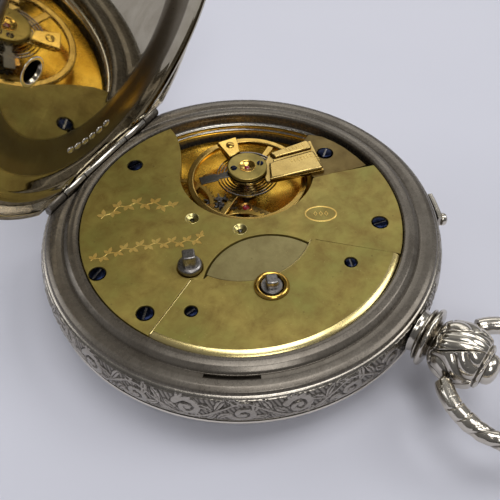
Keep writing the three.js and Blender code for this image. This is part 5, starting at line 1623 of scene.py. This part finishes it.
# the foot takes the darker gilt: painted shade
add("balance_cock_foot",
    slab(COCK_FOOT, 6.82, 10.8, [circle(*COCK_SCREW[:2], 1.22, 48)], edge=0.10, steps=3),
    "gilt_shaded", "gilt_plate")
add("balance_cock_arm", merge(
    # base table, the two raised bars and the rib between them, then the tongue and the ring
    slab([(10.75, 15.7), (12.3, 9.1), (3.8, 6.9), (3.2, 9.6), (4.2, 12.4)], 10.74, 11.30,
         edge=0.06, both=True),
    slab([(4.47, 12.55), (9.9, 15.25), (10.35, 15.0), (10.72, 13.75), (10.5, 13.5),
          (5.25, 11.68)], 11.22, 11.80, edge=0.20, steps=3),
    slab([(4.28, 10.4), (4.9, 10.75), (10.75, 12.92), (11.05, 12.75), (12.1, 9.45),
          (11.9, 9.15), (4.3, 6.98)], 11.22, 11.82, edge=0.30, steps=3),
    slab([(5.0, 10.98), (10.6, 13.08), (10.5, 13.36), (4.9, 11.4)], 11.22, 11.5, edge=0.05),
    slab([(0.3, 12.2), (-1.5, 11.2), (-3.1, 14.6), (-0.9, 15.6)], 10.74, 11.10, edge=0.05,
         both=True),
    placed(turned(rounded([(0.55, 10.74), (2.85, 10.74), (2.85, 11.08), (0.55, 11.08)],
                          0.06, 3), 96), *BALANCE)),
    "gilt_cock", "gilt_plate", replaces="balance_cock")
add_screw("cock_screw", COCK_SCREW, radius=1.06, top=11.02, head=10.45, bottom=6.9, shank=0.4)
add("screw_slot_floors", merge(*slot_floors), "grey_steel", "grey_steel")


def bar_strokes(start, stop, count, width, z):
    """straight and curled strokes by turns, across a bar"""
    start, stop = np.array(start), np.array(stop)
    ahead = (stop - start) / np.linalg.norm(stop - start)
    side = np.array([-ahead[1], ahead[0]])
    strokes = []
    for k in range(count):
        middle = start + (stop - start) * (0.12 + 0.76 * (k + 0.5) / count)
        if k % 2:
            shape = [(-1, 0), (1, 0)]
        else:
            shape = [(-1, 0.16), (-0.2, -0.12), (0.3, 0.12), (1, -0.12)]
        points = [tuple(middle + side * width * a + ahead * b) for a, b in shape]
        strokes.append(ribbon(points, 0.13, z, z + 0.03))
    return strokes


add("cock_ornament", merge(*bar_strokes((6.2, 12.7), (10.1, 14.5), 6, 0.36, 11.80),
                           *bar_strokes((6.8, 10.4), (11.2, 12.0), 7, 0.36, 11.82),
                           *bar_strokes((11.05, 12.0), (11.6, 10.3), 3, 0.30, 11.82)),
    "gilt_engraving", "polished_brass", sharp=20)

END_CAP = [(0, 11.4), (0.95, 11.4), (1.05, 11.14), (1.36, 11.14), (1.40, 11.36), (2.6, 11.36),
           (2.86, 11.42), (2.80, 11.52), (2.92, 11.60), (2.86, 11.70), (2.93, 11.80),
           (2.88, 11.96), (2.76, 12.0), (1.25, 12.0), (1.18, 11.97), (0.85, 11.72),
           (0.45, 11.66), (0.3, 11.60), (0, 11.58)]
gilt("gilt_cap", (182, 160, 92), (160, 142, 80), (126, 112, 62), rough=(0.30, 0.44), bump=0.05)
add("end_cap_disc", placed(turned(rounded(END_CAP, 0.05, 3, closed=False), 144), *BALANCE),
    "gilt_cap", "gilt_plate", replaces="balance_end_cap")
add("end_cap_setting", placed(turned(rounded(
    [(0.36, 11.66), (0.62, 11.72), (0.95, 11.86), (1.16, 12.0), (1.24, 12.03), (1.30, 11.99),
     (1.2, 11.9), (0.9, 11.75), (0.5, 11.64), (0.36, 11.62)], 0.03, 2), 72), *BALANCE),
    "polished_gold", "polished_brass")
add("end_stone", placed(turned(
    [(0, 11.62), (0.38, 11.63), (0.36, 11.70), (0.2, 11.76), (0, 11.78)], 40), *BALANCE),
    "ruby", "polished_brass")


def add_small_screw(name, profile, spot, material, slot, half_slot, slot_z):
    ob = add(name, placed(turned(profile, 48), *spot[:2]), material, slot)
    cut(ob, placed(box((-1, 1), (-half_slot, half_slot), (slot_z, 12.5)), *spot))


CAP_SCREW = [(0, 11.9), (0.5, 11.9), (0.5, 12.02), (0.46, 12.06), (0.2, 12.08), (0, 12.08)]
for letter, spot in (("a", (-0.95, 9.18, 30)), ("b", (2.92, 10.10, 80))):
    add_small_screw("cap_screw_" + letter, CAP_SCREW, spot, "blued_steel", "blued_steel",
                    half_slot=0.07, slot_z=11.98)

INDEX_DEG = bearing(-6.95, 7.25 - BALANCE[1])
INDEX_BLADE = [(2.2, -0.7), (4.4, -0.42), (4.75, -0.72), (7.2, -0.74), (7.25, 0.72),
               (4.75, 0.72), (4.4, 0.42), (2.2, 0.7)]
add("regulator_blade", placed(merge(
    turned(rounded([(1.5, 11.13), (2.6, 11.13), (2.6, 11.33), (1.5, 11.33)], 0.04, 2), 96),
    slab(INDEX_BLADE, 11.13, 11.34, edge=0.05, both=True)), *BALANCE, INDEX_DEG),
    "index_steel", "grey_steel", body="regulator", replaces="regulator")
add("index_block", placed(
    slab([(4.9, -1.35), (6.3, -1.45), (6.5, -0.4), (5.1, -0.2)], 10.5, 11.05, edge=0.12,
         steps=3, both=True), *BALANCE, INDEX_DEG),
    "bronze_gold", "polished_brass", body="regulator")
add("stud_block", slab([(-0.6, 16.2), (0.0, 12.85), (-1.55, 11.65), (-3.45, 14.95)],
                       11.15, 11.93, edge=0.12, steps=3, both=True),
    "polished_gold", "polished_brass", replaces="hairspring_stud")
add_small_screw("stud_screw", [(0, 11.8), (0.55, 11.8), (0.62, 11.95), (0.60, 12.05),
                               (0.45, 12.12), (0, 12.14)], (-1.5, 14.3, 20),
                "polished_gold", "polished_brass", half_slot=0.08, slot_z=12.0)

# ------------------------------------------------------------------ frame pieces
# these keep their shape and only get a finish
for node, material in (("back_hinge_pin", "grey_steel"), ("front_hinge_pin", "grey_steel"),
                       ("lock_spring", "grey_steel"), ("click", "grey_steel"),
                       ("mainspring", "blued_steel"), ("pallet_lever", "grey_steel")):
    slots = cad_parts[node].data.materials
    slots.clear()
    slots.append(MATERIALS[material])

for ob, body, slot, replaces in PIECES:
    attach(ob, body)
    if replaces:
        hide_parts(replaces)


# ------------------------------------------------------------------ stage, light, camera
def add_floor():
    me = bpy.data.meshes.new("floor")
    me.from_pydata([(x, y, -0.0001) for x, y in ((-3, -3), (3, -3), (3, 3), (-3, 3))], [],
                   [[0, 1, 2, 3]])
    floor = link("floor", me)
    sh = Shader("pale_floor")
    clouds = sh.noise(0.02, detail=3)
    sh.set(Base_Color=sh.mix(clouds, linear(222, 222, 232), linear(214, 215, 226)),
           Roughness=0.75, Specular_IOR_Level=0.2)
    me.materials.append(MATERIALS["pale_floor"])


def set_world():
    """grey sky that brightens toward one direction"""
    world = bpy.data.worlds.new("world")
    bpy.context.scene.world = world
    world.use_nodes = True
    nodes, links = world.node_tree.nodes, world.node_tree.links
    nodes.clear()
    output = nodes.new("ShaderNodeOutputWorld")
    background = nodes.new("ShaderNodeBackground")
    coords = nodes.new("ShaderNodeTexCoord")
    toward = nodes.new("ShaderNodeVectorMath")
    toward.operation = "DOT_PRODUCT"
    toward.inputs[1].default_value = (-0.511, -0.392, 0.765)
    ramp = nodes.new("ShaderNodeValToRGB")
    links.new(coords.outputs["Generated"], toward.inputs[0])
    # -1..1 becomes 0..1
    halved = nodes.new("ShaderNodeMath")
    halved.operation = "MULTIPLY_ADD"
    halved.inputs[1].default_value = 0.5
    halved.inputs[2].default_value = 0.5
    links.new(toward.outputs["Value"], halved.inputs[0])
    links.new(halved.outputs[0], ramp.inputs[0])
    stops = ramp.color_ramp.elements
    stops[0].position, stops[0].color = 0.30, (0.11, 0.11, 0.115, 1)
    stops[1].position, stops[1].color = 1.0, (0.31, 0.31, 0.305, 1)
    stops.new(0.78).color = (0.19, 0.19, 0.195, 1)
    links.new(ramp.outputs[0], background.inputs[0])
    background.inputs[1].default_value = 1.0
    links.new(background.outputs[0], output.inputs[0])


# axes of the view: right and up as the camera sees them, and level along the floor
VIEW_RIGHT = np.array([-0.6088, 0.7934, 0.0])
VIEW_UP = np.array([-0.6068, -0.4656, 0.6441])
VIEW_LEVEL = -np.array([0.5110, 0.3921, 0.0]) / np.linalg.norm([0.5110, 0.3921])


def add_light(name, right, level, z, size, power, color=(1, 1, 1)):
    """rectangular light in metres and watts, aimed at the origin"""
    light = bpy.data.lights.new(name, "AREA")
    light.shape = "RECTANGLE"
    light.size, light.size_y = size
    light.energy = power
    light.color = color
    spot = Vector(tuple(VIEW_RIGHT * right + VIEW_LEVEL * level + np.array([0, 0, z])))
    ob = link(name, light)
    ob.location = spot
    ob.rotation_euler = (-spot).to_track_quat("-Z", "Y").to_euler()


def add_camera():
    camera = bpy.data.cameras.new("camera")
    camera.sensor_width = 36
    camera.lens = 49.968
    camera.clip_start, camera.clip_end = 0.005, 10
    roll = radians(1.2)
    right = cos(roll) * VIEW_RIGHT - sin(roll) * VIEW_UP
    up = sin(roll) * VIEW_RIGHT + cos(roll) * VIEW_UP
    back = np.cross(right, up)
    place = (0.05106, 0.04066, 0.08174)
    ob = bpy.data.objects.new("camera", camera)
    ob.matrix_world = Matrix((*zip(right, up, back, place), (0, 0, 0, 1)))
    bpy.context.scene.collection.objects.link(ob)
    bpy.context.scene.camera = ob


add_floor()
set_world()
add_light("key", -0.12, 0.85, 0.62, size=(1.35, 0.34), power=1.8, color=(1.0, 0.99, 0.97))
add_light("left_fill", -0.62, 0.25, 0.42, size=(0.30, 0.4), power=0.9, color=(0.95, 0.97, 1.0))
add_light("right_high", 0.55, 0.12, 0.62, size=(0.34, 0.34), power=1.2)
add_light("behind", 0.15, -0.55, 0.75, size=(0.34, 0.34), power=1.7)
add_light("top", 0.10, 0.05, 0.95, size=(0.45, 0.45), power=2.45)
add_camera()
bpy.context.scene.view_settings.view_transform = "Standard"
